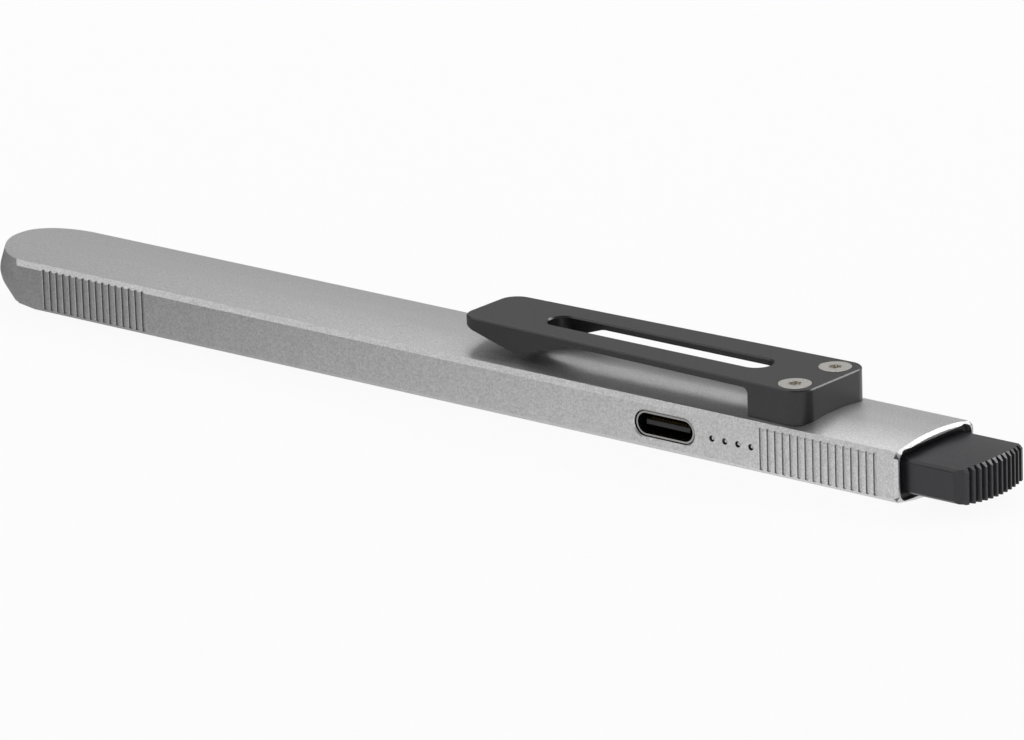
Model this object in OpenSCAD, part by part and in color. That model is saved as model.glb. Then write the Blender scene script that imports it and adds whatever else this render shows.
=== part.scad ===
// Slim pocket flashlight: crowned aluminium housing, clip, tail button and the inside parts.
// X runs from the lens at the nose to the button at the tail, Z is up through the clip,
// and the charging port is on the -Y side. The origin is under the middle, on the resting face.

/* [Housing] */
// Length of the housing from nose tip to tail rim
body_l = 147.5; // [144:0.1:152]
// Width across the flat side faces
body_w = 15.6; // [15.2:0.1:16.4]
// Height between the flat lands on top and bottom
body_h = 7.7; // [7.6:0.1:8.2]
// Radius of the crown on top and bottom
crown_r = 35; // [32:0.5:60]
// Width of the flat land along the middle of each crown
land_w = 3; // [2:0.1:5]
// Width of the chamfer along each long edge
edge_c = 0.65; // [0.4:0.05:0.8]
// Side wall of the pocket that opens at the tail rim
rim_wall = 0.65; // [0.55:0.05:0.8]
// Wall above and below that pocket
rim_roof = 0.7; // [0.6:0.05:0.8]
// Chamfer round the tail rim
rim_c = 0.4; // [0.2:0.05:0.5]
// Wall thickness of the long cavity
wall = 1.1; // [1:0.05:1.2]
// Corner radius of the long cavity
cavity_r = 0.6; // [0.4:0.1:1]

/* [Nose] */
// Radius of the nose in plan, a little more than half the width
nose_r = 7.85; // [7.85:0.01:8.4]
// Height of the widest line of the nose
nose_eq_z = 4.3; // [4:0.1:4.6]
// Rounding radius of the nose above that line
nose_top_r = 4.6; // [4.3:0.1:6]
// Distance by which the nose surface starts ahead of its centre
nose_join = 0.5; // [0.3:0.05:0.9]

/* [Lens and light source] */
// Width of the light opening
window_w = 8; // [7:0.1:8.4]
// Height of the light opening
window_h = 3.8; // [3.4:0.1:4]
// Depth from nose tip to the shoulder that the lens gasket seats on
lens_depth = 2.55; // [2.3:0.05:2.8]
// Rim of the lens outside the light opening
lens_rim = 0.6; // [0.5:0.05:0.7]
// Thickness of the lens plate
lens_t = 1.2; // [1:0.1:1.5]
// How far the lens face lies behind the surface of the nose
lens_sink = 0.1; // [0.05:0.05:0.3]
// Thickness of the lens gasket
lens_gasket_t = 0.4; // [0.3:0.05:0.5]
// Length of the reflector
reflector_l = 4; // [3:0.1:5]
// Radius of the reflector bowl at the lens
bowl_r = 2.2; // [2:0.05:2.25]
// Radius of the reflector bowl at the light source
bowl_neck_r = 1.55; // [1.5:0.05:1.7]
// Side of the square light source
led_w = 2; // [1.6:0.1:2.1]
// Height of the light source above its board
led_h = 0.6; // [0.4:0.1:0.8]
// Thickness of the light source board
led_board_t = 1; // [0.8:0.1:1.2]
// Length of the heat spreader block
spreader_l = 5; // [4:0.1:6]

/* [Battery] */
// Corner radius of the flat cell
cell_r = 1.2; // [0.8:0.1:1.6]
// Thickness of the foam on top of the cell
foam_t = 0.7; // [0.5:0.05:0.9]
// Thickness of the carrier's floor under the cell and boards
tray_t = 0.4; // [0.35:0.05:0.5]
// Thickness of the carrier's side rails
rail_t = 0.5; // [0.4:0.05:0.7]
// Thickness of the foam at the front of the cell
cell_pad_t = 0.8; // [0.5:0.1:1]
// Length of each foam strip on top of the cell
foam_strip_l = 14; // [8:0.5:18]
// Length of the small board behind the cell
protection_l = 8; // [7:0.1:10]
// Width of the nickel tabs
tab_w = 2.4; // [2:0.1:3]
// Thickness of the nickel tabs
tab_t = 0.15; // [0.1:0.05:0.2]
// Distance between the nickel tabs' middles
tab_pitch = 6; // [5:0.1:6.6]
// Diameter of the two power leads
lead_d = 0.6; // [0.4:0.1:0.8]

/* [Boards and charging port] */
// Thickness of the boards
board_t = 0.8; // [0.6:0.1:0.8]
// Distance from the main board's front edge to the ribbon connector
board_front = 2; // [1:0.1:6]
// Distance from tail rim to the middle of the charging port
port_from_rim = 34.74; // [32:0.02:36]
// Width of the port opening in the side wall
port_w = 9.2; // [9.1:0.05:9.6]
// Height of the port opening in the side wall
port_h = 3.3; // [3.24:0.02:3.6]
// Bevel round the port opening
port_bevel = 0.3; // [0.15:0.05:0.4]
// Outer width of the connector shell
usb_w = 8.94; // [8.9:0.01:8.98]
// Outer height of the connector shell
usb_h = 3.16; // [3.1:0.01:3.2]
// Wall of the connector shell
usb_wall = 0.28; // [0.2:0.02:0.34]
// Depth of the connector shell
usb_l = 7.35; // [6.8:0.05:7.6]
// How far the connector mouth lies below the side face
usb_recess = 0.3; // [0.2:0.05:0.5]
// Width of the connector tongue
tongue_w = 6.69; // [6.5:0.01:6.8]
// Thickness of the connector tongue
tongue_h = 0.7; // [0.6:0.02:0.8]
// Distance from tail rim to the first indicator hole
light_from_rim = 27.42; // [27.2:0.02:27.6]
// Distance between indicator holes
light_pitch = 1.96; // [1.8:0.01:1.98]
// Diameter of an indicator hole
light_d = 0.8; // [0.7:0.05:0.9]

/* [Side grips] */
// Distance between neighbouring grip grooves
grip_pitch = 1.126; // [1.05:0.001:1.2]
// Number of grooves in a group
grip_count = 16; // [12:1:16]
// Width of a grip groove
grip_w = 0.5; // [0.4:0.05:0.6]
// Depth of a grip groove
grip_depth = 0.25; // [0.15:0.05:0.3]
// How far a grip groove runs past the flat side into each chamfer
grip_over = 0.2; // [0.1:0.05:0.3]
// Distance from nose tip to the first groove of the front group
grip_from_nose = 12; // [10:0.1:14]
// Distance from tail rim to the first groove of the rear group
grip_from_rim = 20.1; // [19:0.1:20.6]

/* [Clip] */
// Length of the clip
clip_l = 53.9; // [45:0.1:60]
// Distance from tail rim to the rear edge of the clip
clip_from_rim = 14.6; // [12:0.1:15]
// Width of the clip at its rear edge
clip_w = 13.5; // [13:0.1:13.8]
// Width of the clip at its tip
clip_tip_w = 10.5; // [9:0.1:12]
// Corner radius of the clip in plan
clip_r = 2.4; // [1.5:0.1:2.6]
// Height of the clip's top face above the housing
clip_rise = 3.8; // [3.5:0.1:4.4]
// Thickness of the spring arm
arm_t = 0.85; // [0.7:0.05:1]
// Length of the block that is screwed down
clip_block_l = 8.3; // [8:0.1:10]
// Radius under the arm where it meets the block
clip_fillet = 1; // [0.6:0.1:1.4]
// Height of the clip's front edge
clip_nose_t = 1.5; // [1:0.05:1.8]
// Distance from the clip's tip to the foot that presses on the housing
foot_x = 8.8; // [6:0.1:9.4]
// Distance from the clip's tip to where the foot runs out into the arm
foot_end = 16.9; // [14:0.1:20]
// Gap between the foot and the housing
foot_gap = 0.5; // [0.1:0.05:0.8]
// Length of the sole of the foot
foot_l = 1.5; // [0.8:0.1:2]
// Rise of the sole along its length
foot_rise = 0.25; // [0.1:0.05:0.4]
// Width of the slot in the arm
slot_w = 3.9; // [3:0.1:4.2]
// Distance from the clip's tip to the front end of the slot
slot_start = 10.3; // [9.5:0.1:14]
// Distance from the clip's rear edge to the rear end of the slot
slot_end = 9.9; // [9.6:0.1:14]

/* [Clip screws] */
// Distance from tail rim to the screws
screw_from_rim = 17.7; // [17.4:0.02:18]
// Distance between the two screws
screw_pitch = 7.9; // [7:0.02:8.1]
// Diameter of a screw head
screw_head_d = 4.1; // [3.6:0.05:4.2]
// Height of the countersunk head
screw_head_h = 1; // [0.9:0.05:1.2]
// Diameter of the screw thread
screw_d = 2; // [1.8:0.05:2.1]
// Thickness of the nut plate under the housing's top wall
nut_plate_t = 1.2; // [1:0.05:1.25]
// Length of the nut plate
nut_plate_l = 5; // [4:0.1:7]
// Metal behind the screw holes of the nut plate
nut_rim = 0.45; // [0.3:0.05:0.5]

/* [Button and switch] */
// How far the button stands out of the tail rim
button_out = 9.3; // [8.5:0.1:10]
// Wall of the collar on each side of the button
collar_side = 0.85; // [0.75:0.05:1]
// Wall of the collar above and below the button
collar_roof = 0.8; // [0.75:0.05:0.9]
// Height of the button's crown and chamfer above its flat sides
button_shoulder = 0.55; // [0.45:0.05:0.7]
// Travel of the button
travel = 1.5; // [1:0.1:1.5]
// Radius of the button's end in plan
button_end_r = 20; // [16:0.5:30]
// Radius of the crown on the button
button_crown_r = 80; // [60:1:120]
// Number of thumb grooves on the button's end
thumb_count = 11; // [6:1:11]
// Distance between thumb grooves
thumb_pitch = 0.97; // [0.9:0.01:1]
// Width of a thumb groove
thumb_w = 0.8; // [0.5:0.05:0.85]
// Depth of a thumb groove
thumb_depth = 0.55; // [0.3:0.05:0.6]
// Corner radius of that pocket
pocket_r = 1.4; // [1.2:0.05:1.6]
// How far the collar lies inside the tail rim
collar_recess = 0.6; // [0.4:0.05:0.8]
// Length of the collar that guides the button
collar_l = 4.8; // [4:0.1:5.2]
// Length of the rubber seal in the mouth of the collar
seal_l = 0.9; // [0.6:0.05:1.2]
// Thickness of the button's inner flange
flange_t = 1.5; // [1.2:0.1:1.6]
// Diameter of the push rod behind the flange
rod_d = 2.6; // [2.2:0.1:2.8]
// Length of the push rod behind the flange
rod_l = 2; // [1.8:0.1:2.2]
// Side of the square switch stem
stem_w = 2; // [1.6:0.1:2]
// How far the switch stem stands out of the switch
stem_out = 2.1; // [2:0.05:2.3]
// Length of the switch
switch_l = 5; // [4.6:0.1:5.1]
// Width of the switch
switch_w = 6; // [5:0.1:7]
// Height of the switch
switch_h = 2.9; // [2.6:0.05:3]
// Wire diameter of the return spring
spring_wire = 0.36; // [0.3:0.02:0.4]
// Middle diameter of the return spring
spring_d = 3.6; // [3.4:0.05:3.8]
// Turns of the return spring
spring_turns = 4; // [3:0.5:4]

/* [Fits] */
// Clearance between pieces that are fixed together
fit = 0.03; // [0.02:0.01:0.06]
// Clearance round the button and the switch stem
slide_gap = 0.1; // [0.06:0.01:0.12]
// Clearance round boards, cell and other loose-laid pieces
lay_gap = 0.1; // [0.05:0.01:0.12]

/* [Hidden] */

overrun = 1;
fine = 96;
round_fn = 32;

// Small sizes of single pieces
stop_t = 0.8;
flex_w = 4;
flex_t = 0.15;
connector_l = 3;
connector_h = 1.1;
inductor_w = 4;
inductor_h = 2;
inductor_r = 0.6;
parts_gap = 1;
chip_w = 3;
chip_h = 0.9;
cell_chip_w = 2.2;
cell_chip_h = 0.8;
cap = [1.6, 0.8, 0.8];
shell_tab = [0.8, 1];
lead_reach = 2;
tongue_recess = 0.6;
plug_depth = 1.4;
contact_pitch = 0.5;
contact = [0.25, 3.4, 0.06];
gasket_band = 0.4;
gasket_t = 0.6;
lamp = [1, 0.7, 0.6];
lamp_inset = 0.15;
guide_foot = 0.6;
leg = [1, 0.6, 0.2];
dome_share = 0.4;
recess_share = 0.7;
lobe_place_share = 0.33;
lobe_r_share = 0.1;
flange_gap = 0.2;
seal_gap = 0.04;
seal_band = 0.3;
button_edge = 0.35;
button_corner = 0.65;
button_corner_l = 2.2;
button_corner_in = 0.9;
button_end_c = 0.55;

// Main places along X and Z
overall_l = body_l + button_out - lens_sink;
nose_x = -overall_l / 2 - lens_sink;
rim_x = nose_x + body_l;
button_end_x = rim_x + button_out;
mid_z = body_h / 2;
cavity_w = body_w - 2 * wall;
cavity_h = body_h - 2 * wall;
floor_z = wall;
ceiling_z = body_h - wall;
nose_cx = nose_x + nose_r;
nose_cut_x = nose_cx - nose_join;
crown_sag = crown_r - sqrt(crown_r * crown_r - land_w * land_w / 4);
crown_axis = body_h / 2 + crown_sag - crown_r;
side_y = body_w / 2;
shoulder_z = body_h / 2 + crown_sag - sag(crown_r, side_y - edge_c);
side_h = 2 * (shoulder_z - edge_c);
grip_l = side_h + 2 * grip_over;

// Light source stack, from the shoulder behind the nose
lens_seat_x = nose_x + lens_depth;
lens_x = lens_seat_x + lens_gasket_t;
reflector_x = lens_x + lens_t;
led_board_x = reflector_x + reflector_l;
cavity_x = led_board_x + led_board_t;
lens_w = window_w + 2 * lens_rim;
lens_h = window_h + 2 * lens_rim;
spreader_end = cavity_x + spreader_l;

// Boards and cell, from the floor of the cavity
carrier_z = floor_z + fit;
board_z = carrier_z + tray_t;
board_top = board_z + board_t;
foam_z = ceiling_z - fit - foam_t;
flex_z = foam_z - fit - flex_t;
cell_top = flex_z - fit;
cell_h = cell_top - board_z;
cell_w = cavity_w - 2 * (rail_t + 2 * lay_gap);
board_w = cell_w;

// Port, boards and indicators, from the tail forwards to the cell
port_x = rim_x - port_from_rim;
light_x = rim_x - light_from_rim;
wall_y = cavity_w / 2;
inductor_x = port_x - usb_w / 2 - shell_tab[0] - parts_gap - inductor_w;
connector_x = inductor_x - parts_gap - connector_l;
board_x = connector_x - board_front;
protection_end = board_x - 5 * lay_gap;
protection_x = protection_end - protection_l;
cell_end = protection_x - stop_t - 2 * lay_gap;
cell_x = spreader_end + lay_gap + cell_pad_t + fit;
usb_mouth_y = -side_y + usb_recess;
usb_back_y = usb_mouth_y + usb_l;
lamp_y = -board_w / 2 + lamp_inset;

// Clip and screw places
clip_end = rim_x - clip_from_rim;
clip_x = clip_end - clip_l;
clip_top = body_h + clip_rise;
clip_block_x = clip_end - clip_block_l;
arm_z = clip_top - arm_t;
screw_x = rim_x - screw_from_rim;
shank_hole_r = screw_d / 2 + lay_gap;

// Button and switch places
pocket_w = body_w - 2 * rim_wall;
pocket_h = body_h - 2 * rim_roof;
button_w = pocket_w - 2 * collar_side;
button_h = pocket_h - 2 * collar_roof;
button_side_h = button_h - 2 * button_shoulder;
collar_end = rim_x - collar_recess;
collar_x = collar_end - collar_l;
flange_end = collar_x - fit;
flange_x = flange_end - flange_t;
pocket_x = flange_x - travel - 2 * flange_gap;
rod_x = flange_x - rod_l;
stem_end = rod_x;
switch_end = stem_end - stem_out;
switch_x = switch_end - switch_l;
stem_inner = travel + flange_gap;
stem_x = switch_end - stem_inner;

// Helpers
function sag(r, y) = r - sqrt(r * r - y * y);
function unit(v) = v / norm(v);
function half_angle(a, b, c) = acos(unit(a - b) * unit(c - b)) / 2;
function tangent_at(a, b, c, r) = b + unit(a - b) * r / tan(half_angle(a, b, c));
function centre_at(a, b, c, r) =
    b + unit(unit(a - b) + unit(c - b)) * r / sin(half_angle(a, b, c));

// One corner's outline points, repeated in all four quarters
function flipped(p, x, y) = [for (q = p) [x * q[0], y * q[1]]];
function reversed(p) = [for (i = [len(p) - 1:-1:0]) p[i]];
function all_round(p) = concat(p, flipped(reversed(p), -1, 1), flipped(p, -1, -1),
    flipped(reversed(p), 1, -1));

// A flat shape drawn in Y and Z, drawn out along X
module along_x(x0, x1) {
    translate([x0, 0, 0]) rotate([90, 0, 90]) linear_extrude(x1 - x0) children();
}

// A flat shape drawn in X and Z, drawn out along Y
module along_y(y0, y1) {
    translate([0, y1, 0]) rotate([90, 0, 0]) linear_extrude(y1 - y0) children();
}

// A flat shape drawn in X and Y, drawn out along Z
module along_z(z0, z1) {
    translate([0, 0, z0]) linear_extrude(z1 - z0) children();
}

module box(x0, x1, y0, y1, z0, z1) {
    translate([x0, y0, z0]) cube([x1 - x0, y1 - y0, z1 - z0]);
}

module round_rect(w, h, r) {
    square([w - 2 * r, h], center = true);
    square([w, h - 2 * r], center = true);
    for (x = [-1, 1], y = [-1, 1])
        translate([x * (w / 2 - r), y * (h / 2 - r)]) circle(r, $fn = fine);
}

module obround(w, h) {
    square([w - h, h], center = true);
    for (x = [-1, 1]) translate([x * (w - h) / 2, 0]) circle(h / 2, $fn = fine);
}

// A convex outline whose corners are rounded to true arcs
module rounded_outline(p, r) {
    n = len(p);
    polygon([for (i = [0:n - 1]) each [
        tangent_at(p[(i + n - 1) % n], p[i], p[(i + 1) % n], r),
        tangent_at(p[(i + 1) % n], p[i], p[(i + n - 1) % n], r)]]);
    for (i = [0:n - 1])
        translate(centre_at(p[(i + n - 1) % n], p[i], p[(i + 1) % n], r)) circle(r, $fn = fine);
}

// Flat sides and chamfered edges, for a crown to close above and below
module flat_sides(w, h, side, edge, shoulder) {
    polygon(all_round([[w / 2, side / 2], [w / 2 - edge, shoulder], [w / 2 - edge, h / 2]]));
}

// Section with flat sides, chamfered edges and a slight crown on top and bottom
module crowned_section(w, h, side, edge, r) {
    intersection() {
        flat_sides(w, h, side, edge, h / 2 - sag(r, w / 2 - edge));
        translate([0, h / 2 - r]) circle(r, $fn = 4 * fine);
        translate([0, r - h / 2]) circle(r, $fn = 4 * fine);
    }
}

// Housing outside: one crowned surface, chamfered where it ends at the tail rim
module crown_side(top) {
    axis_z = mid_z + (top ? crown_axis : -crown_axis);
    front = nose_x - overrun;
    translate([0, 0, axis_z]) rotate([0, 90, 0]) rotate_extrude($fn = 4 * fine)
        polygon([[0, front], [crown_r, front], [crown_r, rim_x - rim_c], [crown_r - rim_c, rim_x],
            [0, rim_x]]);
}

// Bull nose turned about an upright axis, smaller by sink for what lies behind its surface
module nose_form(sink) {
    r = nose_r - sink;
    translate([nose_cx, 0, 0]) rotate_extrude($fn = 2 * fine) intersection() {
        translate([0, -overrun]) square([r, body_h + 2 * overrun]);
        union() {
            translate([r - nose_eq_z, nose_eq_z]) intersection() {
                circle(nose_eq_z, $fn = 2 * fine);
                translate([0, -nose_eq_z]) square([nose_eq_z, nose_eq_z]);
            }
            translate([r - nose_top_r, nose_eq_z]) intersection() {
                circle(nose_top_r, $fn = 2 * fine);
                square([nose_top_r, nose_top_r]);
            }
            square([r - nose_eq_z, nose_eq_z]);
            translate([0, nose_eq_z]) square([r - nose_top_r, nose_top_r]);
        }
    }
}

module housing_outside() {
    intersection() {
        along_x(nose_x - overrun, rim_x) translate([0, mid_z])
            flat_sides(body_w, 2 * body_h, side_h, edge_c, shoulder_z);
        along_y(-body_w, body_w) polygon([[nose_x - overrun, 0], [rim_x - rim_c, 0], [rim_x, rim_c],
            [rim_x, body_h - rim_c], [rim_x - rim_c, body_h], [nose_x - overrun, body_h]]);
        along_z(-overrun, body_h + overrun) polygon([[nose_x - overrun, -side_y],
            [rim_x - rim_c, -side_y], [rim_x, rim_c - side_y], [rim_x, side_y - rim_c],
            [rim_x - rim_c, side_y], [nose_x - overrun, side_y]]);
        crown_side(true);
        crown_side(false);
        union() {
            nose_form(0);
            box(nose_cut_x, rim_x, -body_w, body_w, -overrun, body_h + overrun);
        }
    }
}

// One group of grip grooves as a flat pattern in X and Z, its first groove at x = 0
module grip_pattern() {
    for (i = [0:grip_count - 1]) translate([i * grip_pitch, 0]) {
        square([grip_w, grip_l - grip_w], center = true);
        for (s = [-1, 1]) translate([0, s * (grip_l - grip_w) / 2])
            circle(grip_w / 2, $fn = round_fn);
    }
}

module grips() {
    for (x = [nose_x + grip_from_nose, rim_x - grip_from_rim], y = [-side_y, side_y])
        along_y(y - grip_depth, y + grip_depth) translate([x, mid_z]) grip_pattern();
}

module port_cut() {
    r = port_h / 2;
    along_y(-side_y - overrun, -wall_y + overrun) translate([port_x, mid_z])
        obround(port_w, port_h);
    for (s = [-1, 1]) translate([port_x + s * (port_w / 2 - r), -side_y, mid_z])
        rotate([-90, 0, 0]) cylinder(h = port_bevel, r1 = r + port_bevel, r2 = r, $fn = fine);
    along_x(port_x - port_w / 2 + r, port_x + port_w / 2 - r) translate([-side_y, mid_z])
        polygon([[-overrun, r + port_bevel], [0, r + port_bevel], [port_bevel, r],
            [port_bevel, -r], [0, -r - port_bevel], [-overrun, -r - port_bevel]]);
}

module light_holes(r, y0, y1) {
    for (i = [0:3]) translate([light_x + i * light_pitch, y0, mid_z])
        rotate([-90, 0, 0]) cylinder(h = y1 - y0, r = r, $fn = round_fn);
}

module at_screws() {
    for (s = [-1, 1]) translate([screw_x, s * screw_pitch / 2, 0]) children();
}

module housing() {
    color("silver") difference() {
        housing_outside();
        along_x(cavity_x, rim_x + overrun) translate([0, mid_z])
            round_rect(cavity_w, cavity_h, cavity_r);
        along_x(pocket_x, rim_x + overrun) translate([0, mid_z])
            round_rect(pocket_w, pocket_h, pocket_r);
        along_x(lens_seat_x, cavity_x + overrun) translate([0, mid_z])
            obround(lens_w + 2 * lay_gap, lens_h + 2 * lay_gap);
        along_x(nose_x - overrun, lens_seat_x + overrun) translate([0, mid_z])
            obround(window_w, window_h);
        grips();
        port_cut();
        light_holes(light_d / 2, -side_y - overrun, -wall_y + overrun);
        at_screws() translate([0, 0, mid_z])
            cylinder(h = body_h, r = shank_hole_r, $fn = round_fn);
    }
}

module lens_window() {
    color("lightcyan") {
        along_x(lens_x, reflector_x) translate([0, mid_z]) obround(lens_w, lens_h);
        intersection() {
            along_x(nose_x, lens_x) translate([0, mid_z])
                obround(window_w - 2 * lay_gap, window_h - 2 * lay_gap);
            nose_form(lens_sink);
        }
    }
}

module lens_gasket() {
    color("dimgray") along_x(lens_seat_x, lens_x) translate([0, mid_z]) difference() {
        obround(lens_w, lens_h);
        obround(window_w - lay_gap, window_h - lay_gap);
    }
}

module reflector() {
    color("gainsboro") difference() {
        along_x(reflector_x, led_board_x) translate([0, mid_z]) obround(lens_w, lens_h);
        translate([reflector_x, 0, mid_z]) rotate([0, 90, 0])
            cylinder(h = reflector_l, r1 = bowl_r, r2 = bowl_neck_r, $fn = fine);
    }
}

module led_emitter() {
    dome_r = dome_share * led_w;
    color("khaki") {
        box(led_board_x - led_h, led_board_x, -led_w / 2, led_w / 2,
            mid_z - led_w / 2, mid_z + led_w / 2);
        translate([led_board_x - led_h, 0, mid_z]) intersection() {
            sphere(dome_r, $fn = round_fn);
            box(-dome_r, 0, -dome_r, dome_r, -dome_r, dome_r);
        }
    }
}

module led_board() {
    color("white") along_x(led_board_x, cavity_x) translate([0, mid_z]) obround(lens_w, lens_h);
}

module heat_spreader() {
    color("peru") difference() {
        along_x(cavity_x, spreader_end) translate([0, mid_z])
            round_rect(cavity_w - 2 * fit, cavity_h - 2 * fit, cavity_r);
        box(cavity_x - overrun, spreader_end + overrun, -flex_w / 2 - lay_gap,
            flex_w / 2 + lay_gap, flex_z - lay_gap, body_h);
    }
}

// Flat ribbon from the light source board, over the cell and down to the main board
module led_flex() {
    drop_x = protection_end + lay_gap;
    land_z = board_top + connector_h;
    line = [[cavity_x, flex_z], [drop_x, flex_z], [connector_x, land_z],
        [connector_x + connector_l, land_z]];
    color("darkorange") along_y(-flex_w / 2, flex_w / 2) polygon(concat(line,
        [for (i = [len(line) - 1:-1:0]) line[i] + [0, flex_t]]));
}

module battery_cell() {
    color("steelblue") along_x(cell_x, cell_end) translate([0, board_z + cell_h / 2])
        round_rect(cell_w, cell_h, cell_r);
}

module battery_tabs() {
    for (s = [-1, 1]) translate([0, s * tab_pitch / 2, 0]) color("lightgray")
        box(cell_end, protection_x + protection_l / 3, -tab_w / 2, tab_w / 2,
            board_top, board_top + tab_t);
}

module battery_foam() {
    strip_w = cell_w - 2 * cell_r;
    color("darkslategray") {
        box(cell_x - fit - cell_pad_t, cell_x - fit, -strip_w / 2, strip_w / 2,
            board_z + fit, cell_top - cell_r / 2);
        for (x = [cell_x + cell_r, cell_end - cell_r - foam_strip_l])
            box(x, x + foam_strip_l, -strip_w / 2, strip_w / 2, foam_z, foam_z + foam_t);
    }
}

module protection_board() {
    color("darkgreen")
        box(protection_x, protection_end, -board_w / 2, board_w / 2, board_z, board_top);
}

module protection_chip() {
    x = protection_end - cell_chip_w - 2 * lead_d;
    color("black") box(x, x + cell_chip_w, -cell_chip_w / 2, cell_chip_w / 2,
        board_top, board_top + cell_chip_h);
}

module battery_leads() {
    for (s = [-1, 1]) color(s > 0 ? "red" : "black")
        translate([protection_end - lead_reach, s * tab_pitch / 2, board_top + lead_d / 2])
            rotate([0, 90, 0]) cylinder(h = board_x - protection_end + 2 * lead_reach,
                r = lead_d / 2, $fn = round_fn);
}

// Tray that carries the cell and both boards, with rails and stops for the cell
module carrier_frame() {
    tray_w = cavity_w - 2 * cavity_r;
    rail_y = cell_w / 2 + lay_gap;
    rail_end_y = rail_y + rail_t;
    rail_top = board_z + cell_h / 2;
    stop_x = cell_end + lay_gap;
    stop_end = stop_x + stop_t;
    stop_y = (tab_pitch + tab_w) / 2 + lay_gap;
    color("slategray") {
        box(spreader_end + fit, switch_end, -tray_w / 2, tray_w / 2, carrier_z, board_z);
        box(stop_x, stop_end, -tray_w / 2, tray_w / 2, carrier_z, board_top - lay_gap);
        for (s = [0, 1]) mirror([0, s, 0]) {
            box(stop_x, stop_end, stop_y, tray_w / 2, carrier_z, rail_top);
            box(stop_x, stop_end, stop_y, rail_end_y, floor_z + cavity_r, rail_top);
            box(cell_x, stop_end, rail_y, rail_end_y, floor_z + cavity_r, rail_top);
        }
    }
}

// Board with cut-outs in which the charging connector and the switch hang
module main_board() {
    port_half = usb_w / 2 + lay_gap;
    switch_half = switch_w / 2 + lay_gap;
    color("darkgreen") difference() {
        box(board_x, switch_end, -board_w / 2, board_w / 2, board_z, board_top);
        box(port_x - port_half, port_x + port_half, -board_w / 2 - overrun, usb_back_y + lay_gap,
            board_z - overrun, board_top + overrun);
        box(switch_x - lay_gap, switch_end + overrun, -switch_half, switch_half,
            board_z - overrun, board_top + overrun);
    }
}

module flex_connector() {
    color("ivory") box(connector_x, connector_x + connector_l, -flex_w / 2 - lay_gap,
        flex_w / 2 + lay_gap, board_top, board_top + connector_h);
}

module driver_inductor() {
    color("dimgray") along_z(board_top, board_top + inductor_h)
        translate([inductor_x + inductor_w / 2, 0])
            round_rect(inductor_w, inductor_w, inductor_r);
}

module controller_chip() {
    x = port_x - chip_w / 2;
    y = usb_back_y + 4 * lay_gap;
    color("black") box(x, x + chip_w, y, y + chip_w, board_top, board_top + chip_h);
}

module charger_chip() {
    x = light_x + light_pitch;
    color("black") box(x, x + chip_w, 0, chip_w, board_top, board_top + chip_h);
}

module capacitors() {
    edge_y = board_w / 2 - 2 * cap[1];
    for (s = [-1, 1], x = [connector_x, inductor_x + cap[0]])
        translate([x, s * edge_y - cap[1] / 2, board_top]) color("tan") cube(cap);
    for (i = [0:1])
        translate([light_x + i * 2 * cap[0], edge_y, board_top]) color("tan") cube(cap);
}

// Drawn shell with side brackets that stand on the board
module usb_shell() {
    color("lightgray") difference() {
        union() {
            along_y(usb_mouth_y, usb_back_y) translate([port_x, mid_z]) obround(usb_w, usb_h);
            for (y = [usb_back_y - usb_l / 2, usb_back_y - shell_tab[1]])
                box(port_x - usb_w / 2 - shell_tab[0], port_x + usb_w / 2 + shell_tab[0],
                    y, y + shell_tab[1], board_top, mid_z);
        }
        along_y(usb_mouth_y - overrun, usb_back_y + overrun) translate([port_x, mid_z])
            obround(usb_w - 2 * usb_wall, usb_h - 2 * usb_wall);
    }
}

module usb_tongue() {
    color("black") {
        box(port_x - tongue_w / 2, port_x + tongue_w / 2, usb_mouth_y + tongue_recess,
            usb_back_y - plug_depth, mid_z - tongue_h / 2, mid_z + tongue_h / 2);
        along_y(usb_back_y - plug_depth, usb_back_y) translate([port_x, mid_z])
            obround(usb_w - 2 * usb_wall - fit, usb_h - 2 * usb_wall - fit);
    }
}

// Twelve contact strips on each face of the tongue
module usb_contacts() {
    for (i = [-5.5:1:5.5], s = [-1, 1]) color("gold")
        translate([port_x + i * contact_pitch - contact[0] / 2, usb_mouth_y + 2 * tongue_recess,
            mid_z + s * (tongue_h + contact[2]) / 2 - contact[2] / 2]) cube(contact);
}

// Gasket on the inner wall round the port, trimmed where the cavity's corners turn in
module port_gasket() {
    band = 2 * (lay_gap + gasket_band);
    color("dimgray") difference() {
        intersection() {
            along_y(-wall_y, -wall_y + gasket_t) translate([port_x, mid_z])
                obround(usb_w + band, usb_h + band);
            along_x(port_x - usb_w, port_x + usb_w) translate([0, mid_z])
                round_rect(cavity_w, cavity_h - 2 * lay_gap, cavity_r + lay_gap);
        }
        along_y(-wall_y - overrun, -wall_y + gasket_t + overrun) translate([port_x, mid_z])
            obround(usb_w + 2 * fit, usb_h + 2 * fit);
    }
}

module indicator_leds() {
    for (i = [0:3]) translate([light_x + i * light_pitch - lamp[0] / 2, lamp_y, board_top])
        color("lightyellow") cube(lamp);
}

// Clear strip that bends the four indicator lights out to the side wall
module light_guide() {
    x0 = light_x - lamp[0] / 2 - lay_gap - guide_foot;
    x1 = light_x + 3 * light_pitch + lamp[0] / 2 + lay_gap + guide_foot;
    y0 = -wall_y + lay_gap;
    y1 = lamp_y + lamp[1];
    bar_z = board_top + lamp[2] + lay_gap;
    color("lightcyan") {
        box(x0, x1, y0, y1, bar_z, mid_z + light_d);
        for (x = [x0, x1 - guide_foot]) box(x, x + guide_foot, lamp_y, y1, board_top, bar_z);
        light_holes(light_d / 2 - fit, -side_y + 2 * lay_gap, y0);
    }
}

module clip_plan() {
    rounded_outline([[clip_x, -clip_tip_w / 2], [clip_end, -clip_w / 2],
        [clip_end, clip_w / 2], [clip_x, clip_tip_w / 2]], clip_r);
}

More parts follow.
